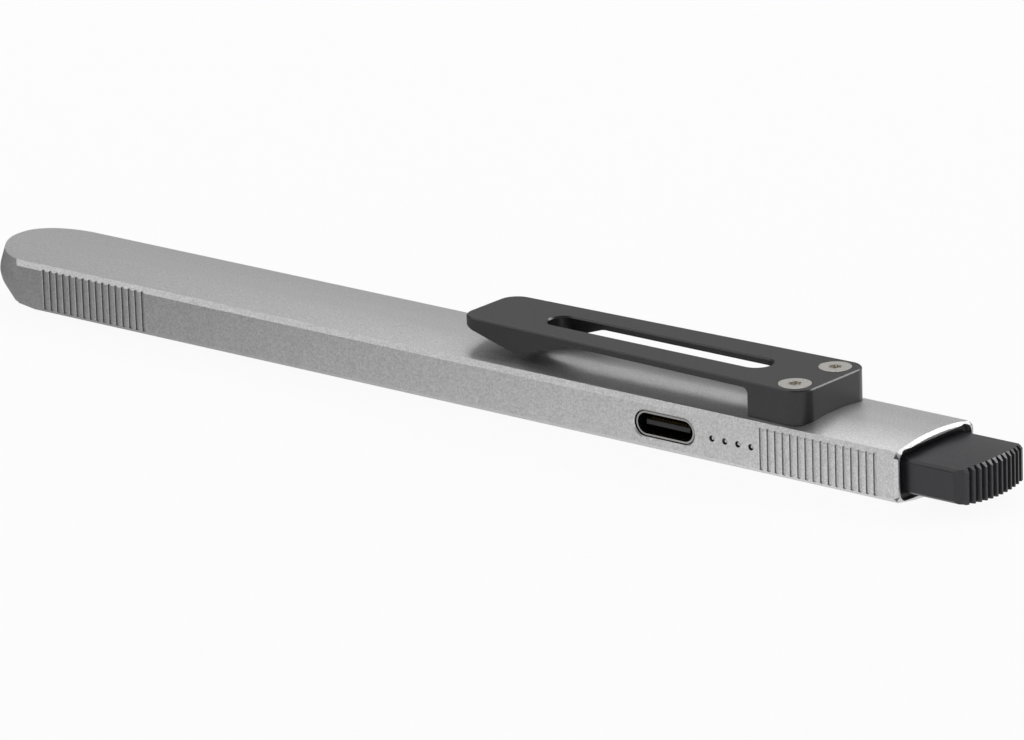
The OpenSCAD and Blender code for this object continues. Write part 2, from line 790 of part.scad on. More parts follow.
// Side view of the clip: nose, foot, thin arm and screwed block
module clip_profile() {
    block_z = body_h - sag(crown_r, clip_w / 2) - overrun;
    foot_z = body_h + foot_gap;
    polygon([[clip_x, clip_top], [clip_x, clip_top - clip_nose_t], [clip_x + foot_x, foot_z],
        [clip_x + foot_x + foot_l, foot_z + foot_rise], [clip_x + foot_end, arm_z],
        [clip_block_x, arm_z], [clip_block_x, block_z], [clip_end, block_z],
        [clip_end, clip_top]]);
    translate([clip_block_x - clip_fillet, arm_z - clip_fillet]) difference() {
        square(clip_fillet);
        circle(clip_fillet, $fn = fine);
    }
}

module pocket_clip() {
    slot_x0 = clip_x + slot_start;
    slot_x1 = clip_end - slot_end;
    color("dimgray") difference() {
        intersection() {
            along_z(0, clip_top) clip_plan();
            along_y(-clip_w, clip_w) clip_profile();
        }
        along_z(body_h / 2, clip_top + overrun) translate([(slot_x0 + slot_x1) / 2, 0])
            obround(slot_x1 - slot_x0, slot_w);
        translate([clip_block_x - overrun, 0, mid_z + crown_axis]) rotate([0, 90, 0])
            cylinder(h = clip_block_l + 2 * overrun, r = crown_r + fit, $fn = 4 * fine);
        at_screws() {
            cylinder(h = clip_top + overrun, r = shank_hole_r, $fn = round_fn);
            translate([0, 0, clip_top - screw_head_h - fit]) cylinder(h = screw_head_h,
                r1 = screw_d / 2 + fit, r2 = screw_head_d / 2 + fit, $fn = fine);
            translate([0, 0, clip_top - fit])
                cylinder(h = overrun, r = screw_head_d / 2 + fit, $fn = fine);
        }
    }
}

// Six-lobed driver recess
module lobed_recess() {
    circle(lobe_place_share * screw_d, $fn = round_fn);
    for (a = [0:60:300]) rotate(a) translate([lobe_place_share * screw_d, 0])
        circle(lobe_r_share * screw_d, $fn = round_fn);
}

module clip_screws() {
    shank_z = ceiling_z - nut_plate_t;
    recess_depth = recess_share * screw_head_h;
    at_screws() color("gainsboro") difference() {
        union() {
            translate([0, 0, clip_top - screw_head_h])
                cylinder(h = screw_head_h, r1 = screw_d / 2, r2 = screw_head_d / 2, $fn = fine);
            translate([0, 0, shank_z]) cylinder(h = clip_top - screw_head_h - shank_z,
                r = screw_d / 2, $fn = round_fn);
        }
        translate([0, 0, clip_top - recess_depth]) linear_extrude(screw_head_h) lobed_recess();
    }
}

module nut_plate() {
    plate_w = cavity_w - 2 * cavity_r;
    plate_end = screw_x + screw_d / 2 + nut_rim;
    color("lightgray") difference() {
        box(plate_end - nut_plate_l, plate_end, -plate_w / 2, plate_w / 2,
            ceiling_z - nut_plate_t, ceiling_z);
        at_screws() cylinder(h = body_h, r = screw_d / 2 + fit, $fn = round_fn);
    }
}

module switch_case() {
    bore = stem_w + 2 * slide_gap;
    bore_l = stem_inner + travel + flange_gap;
    color("black") difference() {
        box(switch_x, switch_end, -switch_w / 2, switch_w / 2,
            mid_z - switch_h / 2, mid_z + switch_h / 2);
        box(switch_end - bore_l, switch_end + overrun, -bore / 2, bore / 2,
            mid_z - bore / 2, mid_z + bore / 2);
    }
}

module switch_terminals() {
    for (s = [-1, 1], x = [switch_x + leg[0], switch_end - 2 * leg[0]])
        translate([x, s * (switch_w + leg[1]) / 2 - leg[1] / 2, board_top]) color("lightgray") cube(leg);
}

module switch_stem() {
    color("whitesmoke") box(stem_x, stem_end, -stem_w / 2, stem_w / 2,
        mid_z - stem_w / 2, mid_z + stem_w / 2);
}

// Coil spring round the stem and the push rod, as one unbroken tube
module return_spring() {
    steps = 12;
    sides = 6;
    wire_r = spring_wire / 2;
    x0 = switch_end + fit + wire_r;
    x1 = flange_x - fit - wire_r;
    rings = spring_turns * steps;
    points = [for (i = [0:rings], j = [0:sides - 1])
        let (a = 360 * i / steps, b = 360 * j / sides, r = spring_d / 2 + wire_r * cos(b))
            [x0 + (x1 - x0) * i / rings + wire_r * sin(b), r * cos(a), mid_z + r * sin(a)]];
    sides_of_tube = [for (i = [0:rings - 1], j = [0:sides - 1])
        let (k = (j + 1) % sides, p = i * sides, q = p + sides)
            each [[p + j, q + j, q + k], [p + j, q + k, p + k]]];
    ends = [for (j = [1:sides - 2]) each [[0, j, j + 1],
        [rings * sides, rings * sides + j + 1, rings * sides + j]]];
    color("silver") polyhedron(points, concat(sides_of_tube, ends));
}

module button_plan() {
    x = button_end_x;
    half = button_w / 2;
    difference() {
        polygon([[flange_x, -half], [x - button_corner_l, -half],
            [x - button_corner_in, button_corner - half], [x, button_corner - half],
            [x, half - button_corner], [x - button_corner_in, half - button_corner],
            [x - button_corner_l, half], [flange_x, half]]);
        for (i = [0:thumb_count - 1]) {
            y = (i - (thumb_count - 1) / 2) * thumb_pitch;
            crest = x - sag(button_end_r, y);
            flare = thumb_w / 2 * (1 + overrun / thumb_depth);
            polygon([[crest - thumb_depth, y], [crest + overrun, y - flare],
                [crest + overrun, y + flare]]);
        }
    }
}

// Barrel form that rounds the button's end in plan and chamfers its upper edge
module button_end_form() {
    top = mid_z + button_h / 2;
    r = button_end_r;
    translate([button_end_x - r, 0, 0]) rotate_extrude($fn = 4 * fine)
        polygon([[0, -overrun], [r, -overrun], [r, top - button_end_c], [r - button_end_c, top],
            [0, top]]);
}

module button() {
    color([0.12, 0.12, 0.13]) {
        intersection() {
            along_x(flange_x, button_end_x) translate([0, mid_z])
                crowned_section(button_w, button_h, button_side_h, button_edge, button_crown_r);
            along_z(0, body_h) button_plan();
            button_end_form();
        }
        along_x(flange_x, flange_end) translate([0, mid_z])
            round_rect(pocket_w - 2 * flange_gap, pocket_h - 2 * flange_gap, pocket_r);
        translate([rod_x, 0, mid_z]) rotate([0, 90, 0])
            cylinder(h = rod_l + flange_t, r = rod_d / 2, $fn = fine);
    }
}

module button_ring(x0, x1, gap) {
    along_x(x0, x1) translate([0, mid_z])
        crowned_section(button_w + 2 * gap, button_h + 2 * gap, button_side_h,
            button_edge + gap, button_crown_r);
}

module button_seal() {
    color("black") difference() {
        button_ring(collar_end - seal_l, collar_end, seal_band);
        button_ring(collar_end - seal_l - overrun, collar_end + overrun, seal_gap);
    }
}

module tail_collar() {
    color([0.2, 0.2, 0.2]) difference() {
        along_x(collar_x, collar_end) translate([0, mid_z])
            round_rect(pocket_w - 2 * fit, pocket_h - 2 * fit, pocket_r);
        button_ring(collar_x - overrun, collar_end + overrun, slide_gap);
        button_ring(collar_end - seal_l - fit, collar_end + overrun, seal_band + fit);
    }
}

housing();
lens_window();
lens_gasket();
reflector();
led_emitter();
led_board();
heat_spreader();
led_flex();
battery_cell();
battery_tabs();
battery_foam();
protection_board();
protection_chip();
battery_leads();
carrier_frame();
main_board();
flex_connector();
driver_inductor();
controller_chip();
charger_chip();
capacitors();
usb_shell();
usb_tongue();
usb_contacts();
port_gasket();
indicator_leds();
light_guide();
pocket_clip();
clip_screws();
nut_plate();
switch_case();
switch_terminals();
switch_stem();
return_spring();
button();
button_seal();
tail_collar();
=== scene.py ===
"""Looks of a flat pocket flashlight: bead-blasted silver housing, black clip and black tail button.

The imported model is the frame. Each visible piece is modelled again in finer detail, in millimetres,
and is brought to metres when it is finished. X runs from the lens to the button, Z is up.
"""
import math

import bmesh
import bpy
from mathutils import Matrix, Vector


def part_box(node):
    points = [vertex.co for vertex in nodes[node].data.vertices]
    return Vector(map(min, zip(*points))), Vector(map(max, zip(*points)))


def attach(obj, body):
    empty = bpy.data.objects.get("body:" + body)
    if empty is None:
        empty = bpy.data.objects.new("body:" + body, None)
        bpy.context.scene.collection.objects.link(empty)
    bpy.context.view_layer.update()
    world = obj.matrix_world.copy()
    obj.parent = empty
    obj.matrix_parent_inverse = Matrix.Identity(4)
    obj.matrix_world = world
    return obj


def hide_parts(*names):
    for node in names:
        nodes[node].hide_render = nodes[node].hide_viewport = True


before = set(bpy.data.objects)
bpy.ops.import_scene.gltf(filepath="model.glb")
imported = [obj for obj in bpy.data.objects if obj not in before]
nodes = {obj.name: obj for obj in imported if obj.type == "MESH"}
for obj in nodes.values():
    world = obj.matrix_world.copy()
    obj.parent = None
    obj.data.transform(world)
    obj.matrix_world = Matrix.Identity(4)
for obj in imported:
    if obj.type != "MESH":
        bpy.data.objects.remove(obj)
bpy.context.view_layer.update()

MM = 0.001

# ---------------------------------------------------------------- sizes in millimetres


def box_mm(node):
    """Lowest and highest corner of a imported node, in millimetres."""
    low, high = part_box(node)
    return Vector(low) / MM, Vector(high) / MM


shell_low, shell_high = box_mm("housing")
clip_low, clip_high = box_mm("pocket_clip")
button_low, button_high = box_mm("button")
port_low, port_high = box_mm("usb_shell")
guide_low, guide_high = box_mm("light_guide")

# How close to a plane a corner has to be to count as lying on it, in the piece's own unit
NEAR = 0.001

RIM = shell_high.x
TOP = shell_high.z
MID = TOP / 2
SIDE = shell_high.y
SHELL_L = 147.5
NOSE = RIM - SHELL_L
# The crowned faces are arcs over the width, with a flat land to rest on along their middle
CROWN_R = 35.0
LAND = 3.0
EDGE_C = 0.65
RIM_C = 0.4
# The nose is widest in a band, and this much narrower at its foot and at its top
NOSE_R = 7.85
NOSE_BAND = (3.55, 5.0)
NOSE_LOW_IN = 1.9
NOSE_TOP_IN = 0.85
# Where the flat sides turn inwards, how far they reach into the nose, and the facets below
NOSE_MEETS = 7.4
NOSE_REACH = 3.35
FACET = (-0.136, 0.439, -0.888)
CROWN_SAG = CROWN_R - math.sqrt(CROWN_R ** 2 - (LAND / 2) ** 2)
CROWN_DROP = CROWN_R - TOP / 2 - CROWN_SAG
SHOULDER = math.sqrt(CROWN_R ** 2 - (SIDE - EDGE_C) ** 2) - CROWN_DROP
SIDE_HALF = SHOULDER - EDGE_C

# ---------------------------------------------------------------- modelling helpers


def only(piece):
    """Leaves one piece selected and active, in object mode."""
    if bpy.context.mode != "OBJECT":
        bpy.ops.object.mode_set(mode="OBJECT")
    bpy.ops.object.select_all(action="DESELECT")
    piece.select_set(True)
    bpy.context.view_layer.objects.active = piece
    return piece


def fresh(name):
    """Names the primitive that was just added and settles its place into its mesh."""
    piece = bpy.context.object
    piece.name = name
    bpy.ops.object.transform_apply(location=True, rotation=True, scale=True)
    return piece


def clear_selection():
    if bpy.context.mode != "OBJECT":
        bpy.ops.object.mode_set(mode="OBJECT")
    bpy.ops.object.select_all(action="DESELECT")


def block(name, low, high):
    """A block between two corners."""
    clear_selection()
    middle = [(a + b) / 2 for a, b in zip(low, high)]
    size = [b - a for a, b in zip(low, high)]
    bpy.ops.mesh.primitive_cube_add(size=1, location=middle, scale=size)
    return fresh(name)


TURNS = {"X": (0, math.pi / 2, 0), "Y": (-math.pi / 2, 0, 0), "Z": (0, 0, 0)}


def rod(name, axis, start, length, radius, end_radius=None, sides=96):
    """A round rod or cone along one axis, from its start point towards plus."""
    clear_selection()
    middle = Vector(start)
    middle["XYZ".index(axis)] += length / 2
    bpy.ops.mesh.primitive_cone_add(
        vertices=sides, radius1=radius, radius2=radius if end_radius is None else end_radius,
        depth=length, location=middle, rotation=TURNS[axis])
    return fresh(name)


def pick(piece, test, parts="EDGE"):
    """Enters edit mode with those corners, edges or faces selected whose places pass the test."""
    only(piece)
    bpy.ops.object.mode_set(mode="EDIT")
    bpy.ops.mesh.select_mode(type=parts)
    bpy.ops.mesh.select_all(action="DESELECT")
    mesh = bmesh.from_edit_mesh(piece.data)
    group = {"VERT": mesh.verts, "EDGE": mesh.edges, "FACE": mesh.faces}[parts]
    for item in group:
        corners = [item.co] if parts == "VERT" else [v.co for v in item.verts]
        if all(test(c) for c in corners):
            item.select_set(True)
    bmesh.update_edit_mesh(piece.data)


def leave(piece):
    """Goes back to object mode."""
    if bpy.context.mode != "OBJECT":
        bpy.ops.object.mode_set(mode="OBJECT")
    return piece


def bevel(piece, test, width, steps=1):
    """Chamfers or rounds the edges whose ends both pass the test."""
    pick(piece, test)
    bpy.ops.mesh.bevel(offset=width, segments=steps, affect="EDGES", clamp_overlap=False)
    return tidy(piece)


# Corners closer together than this are one corner
DOUBLED = 0.0004


def tidy(piece):
    """Merges doubled corners."""
    only(piece)
    bpy.ops.object.mode_set(mode="EDIT")
    bpy.ops.mesh.select_all(action="SELECT")
    bpy.ops.mesh.remove_doubles(threshold=DOUBLED)
    return leave(piece)


def long_edges(piece, axis, width, steps, test=lambda c: True):
    """Bevels the edges that run along one axis."""
    only(piece)
    bpy.ops.object.mode_set(mode="EDIT")
    bpy.ops.mesh.select_mode(type="EDGE")
    bpy.ops.mesh.select_all(action="DESELECT")
    mesh = bmesh.from_edit_mesh(piece.data)
    k = "XYZ".index(axis)
    for edge in mesh.edges:
        run = edge.verts[1].co - edge.verts[0].co
        if abs(run[k]) > 0.999 * run.length and test((edge.verts[0].co + edge.verts[1].co) / 2):
            edge.select_set(True)
    bmesh.update_edit_mesh(piece.data)
    bpy.ops.mesh.bevel(offset=width, segments=steps, affect="EDGES", clamp_overlap=False)
    return tidy(piece)


def slab(name, axis, low, high, radius, steps=16):
    """A block with its four edges along one axis rounded."""
    return long_edges(block(name, low, high), axis, radius * 0.9999, steps)


def trim(piece, point, normal):
    """Cuts off all that lies beyond a plane."""
    only(piece)
    bpy.ops.object.mode_set(mode="EDIT")
    bpy.ops.mesh.select_all(action="SELECT")
    bpy.ops.mesh.bisect(plane_co=point, plane_no=normal, use_fill=True, clear_outer=True)
    return leave(piece)


def combine(piece, other, how="DIFFERENCE"):
    """Cuts, joins or crosses a piece with another one, which is used up."""
    only(piece)
    step = piece.modifiers.new("combine", "BOOLEAN")
    step.operation = how
    step.object = other
    step.solver = "MANIFOLD"
    bpy.ops.object.modifier_apply(modifier=step.name)
    bpy.data.objects.remove(other)
    return piece


def move(piece, test, by):
    """Moves the corners that pass the test."""
    pick(piece, test, "VERT")
    bpy.ops.transform.translate(value=by)
    return leave(piece)


def repeat(piece, count, step):
    """Copies a piece along a line."""
    only(piece)
    row = piece.modifiers.new("row", "ARRAY")
    row.count = count
    row.use_relative_offset = False
    row.use_constant_offset = True
    row.constant_offset_displace = step
    bpy.ops.object.modifier_apply(modifier=row.name)
    return piece


def complete(piece, body, slot, material, *replaced, angle=30):
    """Cleans a piece, brings it to metres, smooths it and hands it to the frame."""
    tidy(piece)
    only(piece)
    bpy.ops.object.mode_set(mode="EDIT")
    bpy.ops.mesh.select_all(action="SELECT")
    bpy.ops.mesh.normals_make_consistent(inside=False)
    leave(piece)
    piece.scale = (MM, MM, MM)
    bpy.ops.object.transform_apply(location=True, rotation=True, scale=True)
    bpy.ops.object.shade_smooth_by_angle(angle=math.radians(angle))
    soft = piece.modifiers.new("even shading", "WEIGHTED_NORMAL")
    soft.keep_sharp = True
    bpy.ops.object.modifier_apply(modifier=soft.name)
    piece.data.materials.clear()
    piece.data.materials.append(material)
    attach(piece, body)
    if replaced:
        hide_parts(*replaced)
    return piece


# ---------------------------------------------------------------- materials


def linear(code):
    """An sRGB hex colour as linear RGBA."""
    parts = [int(code[i:i + 2], 16) / 255 for i in (1, 3, 5)]
    return [c / 12.92 if c <= 0.04045 else ((c + 0.055) / 1.055) ** 2.4 for c in parts] + [1.0]


def add(tree, kind, inputs=(), **settings):
    """Adds a node with its settings, its values and its links."""
    node = tree.nodes.new(kind)
    for name, value in settings.items():
        setattr(node, name, value)
    for name, value in dict(inputs).items():
        if isinstance(value, bpy.types.NodeSocket):
            tree.links.new(value, node.inputs[name])
        else:
            node.inputs[name].default_value = value
    return node


GRAIN_DETAIL = 3.0
GRAIN_ROUGHNESS = 0.6
GRAIN_FROM, GRAIN_TO = 0.3, 0.7


def surface(name, dark, light, grain_mm, rough, height_mm, stretch=(1, 1, 1), fixed=()):
    """A material whose colour, gloss and height vary with one grain of a real size.

    dark and light are hex colours, rough is the lowest and highest roughness, height_mm is
    the height of the relief, stretch draws the grain out along an axis, and fixed holds the
    shader's own values.
    """
    material = bpy.data.materials.new(name)
    material.use_nodes = True
    tree = material.node_tree
    tree.nodes.clear()
    place = add(tree, "ShaderNodeTexCoord")
    drawn = add(tree, "ShaderNodeMapping", {"Vector": place.outputs["Object"], "Scale": stretch})
    grain = add(tree, "ShaderNodeTexNoise", {
        "Vector": drawn.outputs["Vector"], "Scale": 1 / (grain_mm * MM),
        "Detail": GRAIN_DETAIL, "Roughness": GRAIN_ROUGHNESS})
    spread = add(tree, "ShaderNodeMapRange", {
        "Value": grain.outputs["Fac"], "From Min": GRAIN_FROM, "From Max": GRAIN_TO})
    tone = add(tree, "ShaderNodeMix", {
        0: spread.outputs["Result"], 6: linear(dark), 7: linear(light)}, data_type="RGBA")
    gloss = add(tree, "ShaderNodeMapRange", {
        "Value": spread.outputs["Result"], "To Min": rough[1], "To Max": rough[0]})
    relief = add(tree, "ShaderNodeBump", {
        "Height": spread.outputs["Result"], "Distance": height_mm * MM, "Strength": 1.0})
    shader = add(tree, "ShaderNodeBsdfPrincipled", {
        "Base Color": tone.outputs[2], "Roughness": gloss.outputs["Result"],
        "Normal": relief.outputs["Normal"], **dict(fixed)})
    add(tree, "ShaderNodeOutputMaterial", {"Surface": shader.outputs["BSDF"]})
    return material


# How rough the crowned faces are against the sides, and the upward slopes between the two
CROWN_SHARE = 0.85
CROWN_SLOPES = (0.8, 0.96)
# Painted shade on the walls of grooves and holes: outside this distance from the middle, and facing
# along the housing
WALL_FROM = SIDE - 0.5
WALL_FACING = 0.5


def housing_material():
    """Bead-blasted, silver-anodised aluminium: real pits of 0.05 mm are too fine to show, so they
    are drawn 0.22 mm wide. The flat sides read as an even, finely speckled silver grey.

    The crowned faces are a little smoother: the light through the clip's slot lies on them as a
    soft stripe, between the blurred dark shapes of its arm and foot.
    The walls of grooves and holes get painted shade, a darker grey that reads as dark lines.
    """
    material = surface("bead_blasted_anodised_aluminium", "#BBBBBB", "#DBDBDB", 0.22,
                       (0.40, 0.52), 0.014, fixed={"Metallic": 0.9})
    tree = material.node_tree
    shader = next(n for n in tree.nodes if n.type == "BSDF_PRINCIPLED")
    relief = next(n for n in tree.nodes if n.type == "BUMP")
    tone = shader.inputs["Base Color"].links[0].from_socket
    gloss = shader.inputs["Roughness"].links[0].from_socket
    place = add(tree, "ShaderNodeTexCoord")
    facing = add(tree, "ShaderNodeSeparateXYZ", {"Vector": place.outputs["Normal"]})
    spot = add(tree, "ShaderNodeSeparateXYZ", {"Vector": place.outputs["Object"]})
    upward = add(tree, "ShaderNodeMath", {0: facing.outputs["Z"]}, operation="ABSOLUTE")
    smoother = add(tree, "ShaderNodeMapRange", {
        "Value": upward.outputs[0], "From Min": CROWN_SLOPES[0], "From Max": CROWN_SLOPES[1],
        "To Min": 1.0, "To Max": CROWN_SHARE})
    sideways = add(tree, "ShaderNodeMath", {0: facing.outputs["Y"]}, operation="ABSOLUTE")
    wall = add(tree, "ShaderNodeMath", {0: sideways.outputs[0], 1: WALL_FACING},
               operation="LESS_THAN")
    outward = add(tree, "ShaderNodeMath", {0: spot.outputs["Y"]}, operation="ABSOLUTE")
    outer = add(tree, "ShaderNodeMath", {0: outward.outputs[0], 1: WALL_FROM * MM},
                operation="GREATER_THAN")
    painted_wall_shade = add(tree, "ShaderNodeMath", {0: wall.outputs[0], 1: outer.outputs[0]},
                 operation="MULTIPLY")
    # Painted shade: the groove and hole walls get a dark grey in place of the silver
    shaded = add(tree, "ShaderNodeMix", {
        0: painted_wall_shade.outputs[0], 6: tone, 7: linear("#6C6C6D")}, data_type="RGBA")
    tree.links.new(shaded.outputs[2], shader.inputs["Base Color"])
    fine = add(tree, "ShaderNodeMath", {0: gloss, 1: smoother.outputs["Result"]},
               operation="MULTIPLY")
    tree.links.new(fine.outputs[0], shader.inputs["Roughness"])
    calmer = add(tree, "ShaderNodeMath", {
        0: smoother.outputs["Result"], 1: smoother.outputs["Result"]}, operation="MULTIPLY")
    tree.links.new(calmer.outputs[0], relief.inputs["Strength"])
    return material


silver = housing_material()
# Matte black anodised aluminium: near black on its sides, dark grey where its top mirrors light
clip_black = surface("black_anodised_aluminium", "#1D1D1E", "#232324", 0.12, (0.27, 0.36), 0.003,
                     fixed={"IOR": 1.5})
# Stainless steel screws, satin from turning: a touch warmer than the neutral housing
screw_steel = surface("stainless_steel_satin", "#E0DCD5", "#F0EDE7", 0.1, (0.2, 0.32), 0.003,
                      fixed={"Metallic": 1.0})
# Moulded black polycarbonate with spark-eroded texture: soft sheen with a faint violet cast
button_black = surface("moulded_black_polycarbonate", "#242226", "#2B292D", 0.14, (0.26, 0.35),
                       0.004, fixed={"IOR": 1.47})
# Moulded black nylon of the collar, a little duller than the button
collar_black = surface("moulded_black_nylon", "#131315", "#1B1B1D", 0.2, (0.48, 0.58), 0.004,
                       fixed={"IOR": 1.53})
# Black silicone rubber: no clear highlight, a faint bloom at the edges
rubber = surface("black_silicone_rubber", "#101011", "#1A1A1B", 0.25, (0.62, 0.75), 0.004,
                 fixed={"IOR": 1.41})
# Coated mineral glass of the lens: clear, with a sharp thin reflection
glass = surface("coated_mineral_glass", "#FAFDFD", "#FFFFFF", 4.0, (0.01, 0.03), 0.0002,
                fixed={"IOR": 1.52, "Transmission Weight": 1.0})
# Reflector bowl, vacuum-metallised plastic: bright mirror with a trace of orange peel
mirror = surface("vacuum_metallised_bowl", "#E4E4E2", "#F0F0EF", 1.2, (0.08, 0.14), 0.002,
                 fixed={"Metallic": 1.0})
# Silicone filled with phosphor over the light source: flat lemon yellow, slightly soft
phosphor = surface("phosphor_silicone", "#D9C04B", "#EBD76A", 0.15, (0.3, 0.4), 0.003,
                   fixed={"IOR": 1.43, "Subsurface Weight": 0.1})
# White solder mask on an aluminium board: clean warm white with a low gloss
white_mask = surface("white_solder_mask", "#E2E2DE", "#EFEFEC", 0.3, (0.3, 0.42), 0.003)
# Machined copper: orange metal with fine parallel cutter lines across it
copper = surface("machined_copper", "#B8724E", "#D08B66", 0.12, (0.22, 0.36), 0.003,
                 stretch=(1, 0.06, 1), fixed={"Metallic": 1.0})
# Polyimide ribbon: glossy translucent amber over darker copper tracks along it
amber = surface("polyimide_film", "#A5590F", "#CB7C1E", 0.5, (0.16, 0.26), 0.003,
                stretch=(0.02, 1, 1), fixed={"Coat Weight": 0.4})
# Aluminium pouch foil of the cell: dull silver with a very slight crumple
foil = surface("aluminium_pouch_foil", "#A8ABAF", "#BFC2C6", 2.5, (0.3, 0.4), 0.02,
               fixed={"Metallic": 1.0})
# Nickel strip and tinned terminals: yellowish grey metal, rolled lines along it
nickel = surface("rolled_nickel", "#ABA79C", "#C2BEB3", 0.1, (0.2, 0.34), 0.002,
                 stretch=(0.05, 1, 1), fixed={"Metallic": 1.0})
# Closed-cell foam: dull black with 0.4 mm cells
foam = surface("closed_cell_foam", "#131314", "#2A2A2C", 0.4, (0.8, 0.95), 0.05)
# Moulded epoxy of the chips: dark grey-black, evenly matte
epoxy = surface("moulded_epoxy", "#151516", "#212123", 0.08, (0.5, 0.62), 0.003)
# Silicone wire insulation: deep red with a waxy sheen
wire_red = surface("silicone_wire_red", "#6E120E", "#861A15", 0.3, (0.35, 0.45), 0.003)
# Glass-filled nylon of the carrier: slate grey with faint fibre streaks along it
nylon = surface("glass_filled_nylon", "#34383F", "#474C54", 0.25, (0.45, 0.6), 0.005,
                stretch=(0.15, 1, 1))
# White moulded plastic of connector and switch stem: slightly warm, satin
white_plastic = surface("moulded_white_acetal", "#D8D5CC", "#E6E3DB", 0.3, (0.32, 0.42), 0.003)
# Ferrite of the inductor: charcoal ceramic with a dusty grain
ferrite = surface("sintered_ferrite", "#262628", "#3A3A3C", 0.1, (0.6, 0.75), 0.006)
# Capacitor ceramic: tan, fine and slightly glossy
ceramic = surface("capacitor_ceramic", "#9A7B58", "#B3946F", 0.12, (0.3, 0.45), 0.003)
# Drawn stainless shell of the charging port: darker than the housing, drawn lines along its depth
port_metal = surface("drawn_stainless_steel", "#8E8D8B", "#A9A8A5", 0.08, (0.2, 0.32), 0.002,
                     stretch=(1, 0.05, 1), fixed={"Metallic": 1.0})
# Black moulded tongue of the port
tongue_black = surface("moulded_black_lcp", "#101011", "#1A1A1B", 0.12, (0.4, 0.5), 0.003)
# Gold-plated contacts: warm bright metal
gold = surface("gold_plate", "#D9A84C", "#E9C06A", 0.1, (0.15, 0.24), 0.001,
               fixed={"Metallic": 1.0})
# Indicator lamps in pale resin
lamp_resin = surface("pale_lamp_resin", "#DAD8C0", "#EAE8D4", 0.2, (0.2, 0.3), 0.002)
# Light guide of milky acrylic: each end is a bright bead in the dark ring of its hole
acrylic = surface("milky_acrylic_guide", "#E9EBEC", "#F6F7F8", 0.8, (0.12, 0.2), 0.001,
                  fixed={"IOR": 1.49, "Transmission Weight": 0.1})
# Switch case of black glass-filled plastic
switch_black = surface("black_glass_filled_plastic", "#161617", "#242426", 0.18, (0.45, 0.58),
                       0.004)
# Spring wire, drawn and polished
spring_wire = surface("drawn_spring_wire", "#A3A2A0", "#BDBCB9", 0.06, (0.18, 0.3), 0.001,
                      fixed={"Metallic": 1.0})


# A wave texture of scale 1 repeats each 0.3142 units, and the cloth's threads are 0.45 mm apart
WAVE_SHARE = 0.3142
CLOTH_STEP = 0.45
CLOTH_RELIEF = 0.01


def board_material():
    """Glass-fibre board: green mask over a woven cloth with 0.45 mm threads both ways."""
    material = surface("green_masked_glass_fibre", "#0D4A28", "#146137", 0.5, (0.28, 0.4), 0.002)
    tree = material.node_tree
    place = add(tree, "ShaderNodeTexCoord")
    across = add(tree, "ShaderNodeTexWave", {
        "Vector": place.outputs["Object"], "Scale": WAVE_SHARE / (CLOTH_STEP * MM),
        "Distortion": 0.6}, bands_direction="X")
    along = add(tree, "ShaderNodeTexWave", {
        "Vector": place.outputs["Object"], "Scale": WAVE_SHARE / (CLOTH_STEP * MM),
        "Distortion": 0.6}, bands_direction="Y")
    weave = add(tree, "ShaderNodeMath", {0: across.outputs["Fac"], 1: along.outputs["Fac"]},
                operation="MULTIPLY")
    shader = next(n for n in tree.nodes if n.type == "BSDF_PRINCIPLED")
    relief = add(tree, "ShaderNodeBump", {
        "Height": weave.outputs[0], "Distance": CLOTH_RELIEF * MM, "Strength": 1.0})
    tree.links.new(relief.outputs["Normal"], shader.inputs["Normal"])
    return material


board_green = board_material()

CARRIED_OVER = {
    "lens_gasket": rubber, "led_board": white_mask, "heat_spreader": copper, "led_flex": amber,
    "battery_cell": foil, "battery_tabs": nickel, "battery_foam": foam,
    "protection_board": board_green, "protection_chip": epoxy, "battery_leads": wire_red,
    "carrier_frame": nylon, "main_board": board_green, "flex_connector": white_plastic,
    "driver_inductor": ferrite, "controller_chip": epoxy, "charger_chip": epoxy,
    "capacitors": ceramic, "usb_contacts": gold, "port_gasket": rubber,
    "indicator_leds": lamp_resin, "nut_plate": screw_steel, "switch_case": switch_black,
    "switch_terminals": nickel, "switch_stem": white_plastic, "return_spring": spring_wire,
}
for name, material in CARRIED_OVER.items():
    for holder in nodes[name].material_slots:
        holder.material = material

# ---------------------------------------------------------------- housing


CROWN_SIDES = 1440
NOSE_SIDES = 256


def crown(name, up, radius=CROWN_R, drop=CROWN_DROP, start=NOSE - 2, end=RIM, rim=RIM_C):
    """A long cylinder whose side is the crowned top (or bottom), chamfered at its rim end."""
    z = MID - drop if up else MID + drop
    form = rod(name, "X", (start, 0, z), end - start, radius, sides=CROWN_SIDES)
    if rim:
        bevel(form, lambda c: c.x > end - NEAR, rim)
    return form


def nose_round(name, radius):
    """The nose: a disc about an upright axis, widest in a band and drawn in below and above it."""
    low, high = NOSE_BAND
    form = rod(name, "Z", (NOSE + NOSE_R, 0, 0), TOP, radius, sides=NOSE_SIDES)
    only(form)
    bpy.ops.object.mode_set(mode="EDIT")
    for z in NOSE_BAND:
        bpy.ops.mesh.select_all(action="SELECT")
        bpy.ops.mesh.bisect(plane_co=(0, 0, z), plane_no=(0, 0, 1))
    for z, inward in ((0, NOSE_LOW_IN), (TOP, NOSE_TOP_IN)):
        pick(form, lambda c: abs(c.z - z) < NEAR, "VERT")
        share = 1 - inward / radius
        bpy.ops.transform.resize(value=(share, share, 1), center_override=(NOSE + NOSE_R, 0, 0))
    leave(form)
    bevel(form, lambda c: abs(c.z - low) < NEAR, 1.0, 8)
    bevel(form, lambda c: abs(c.z - high) < NEAR, 0.6, 6)
    return bevel(form, lambda c: c.z < NEAR, 0.3, 4)


def side_slot(name, x, width, height, y0, y1, steps=24):
    """A round-ended bar through the side wall, centred at x on the middle height."""
    return slab(name, "Y", (x - width / 2, y0, MID - height / 2),
                (x + width / 2, y1, MID + height / 2), height / 2, steps)


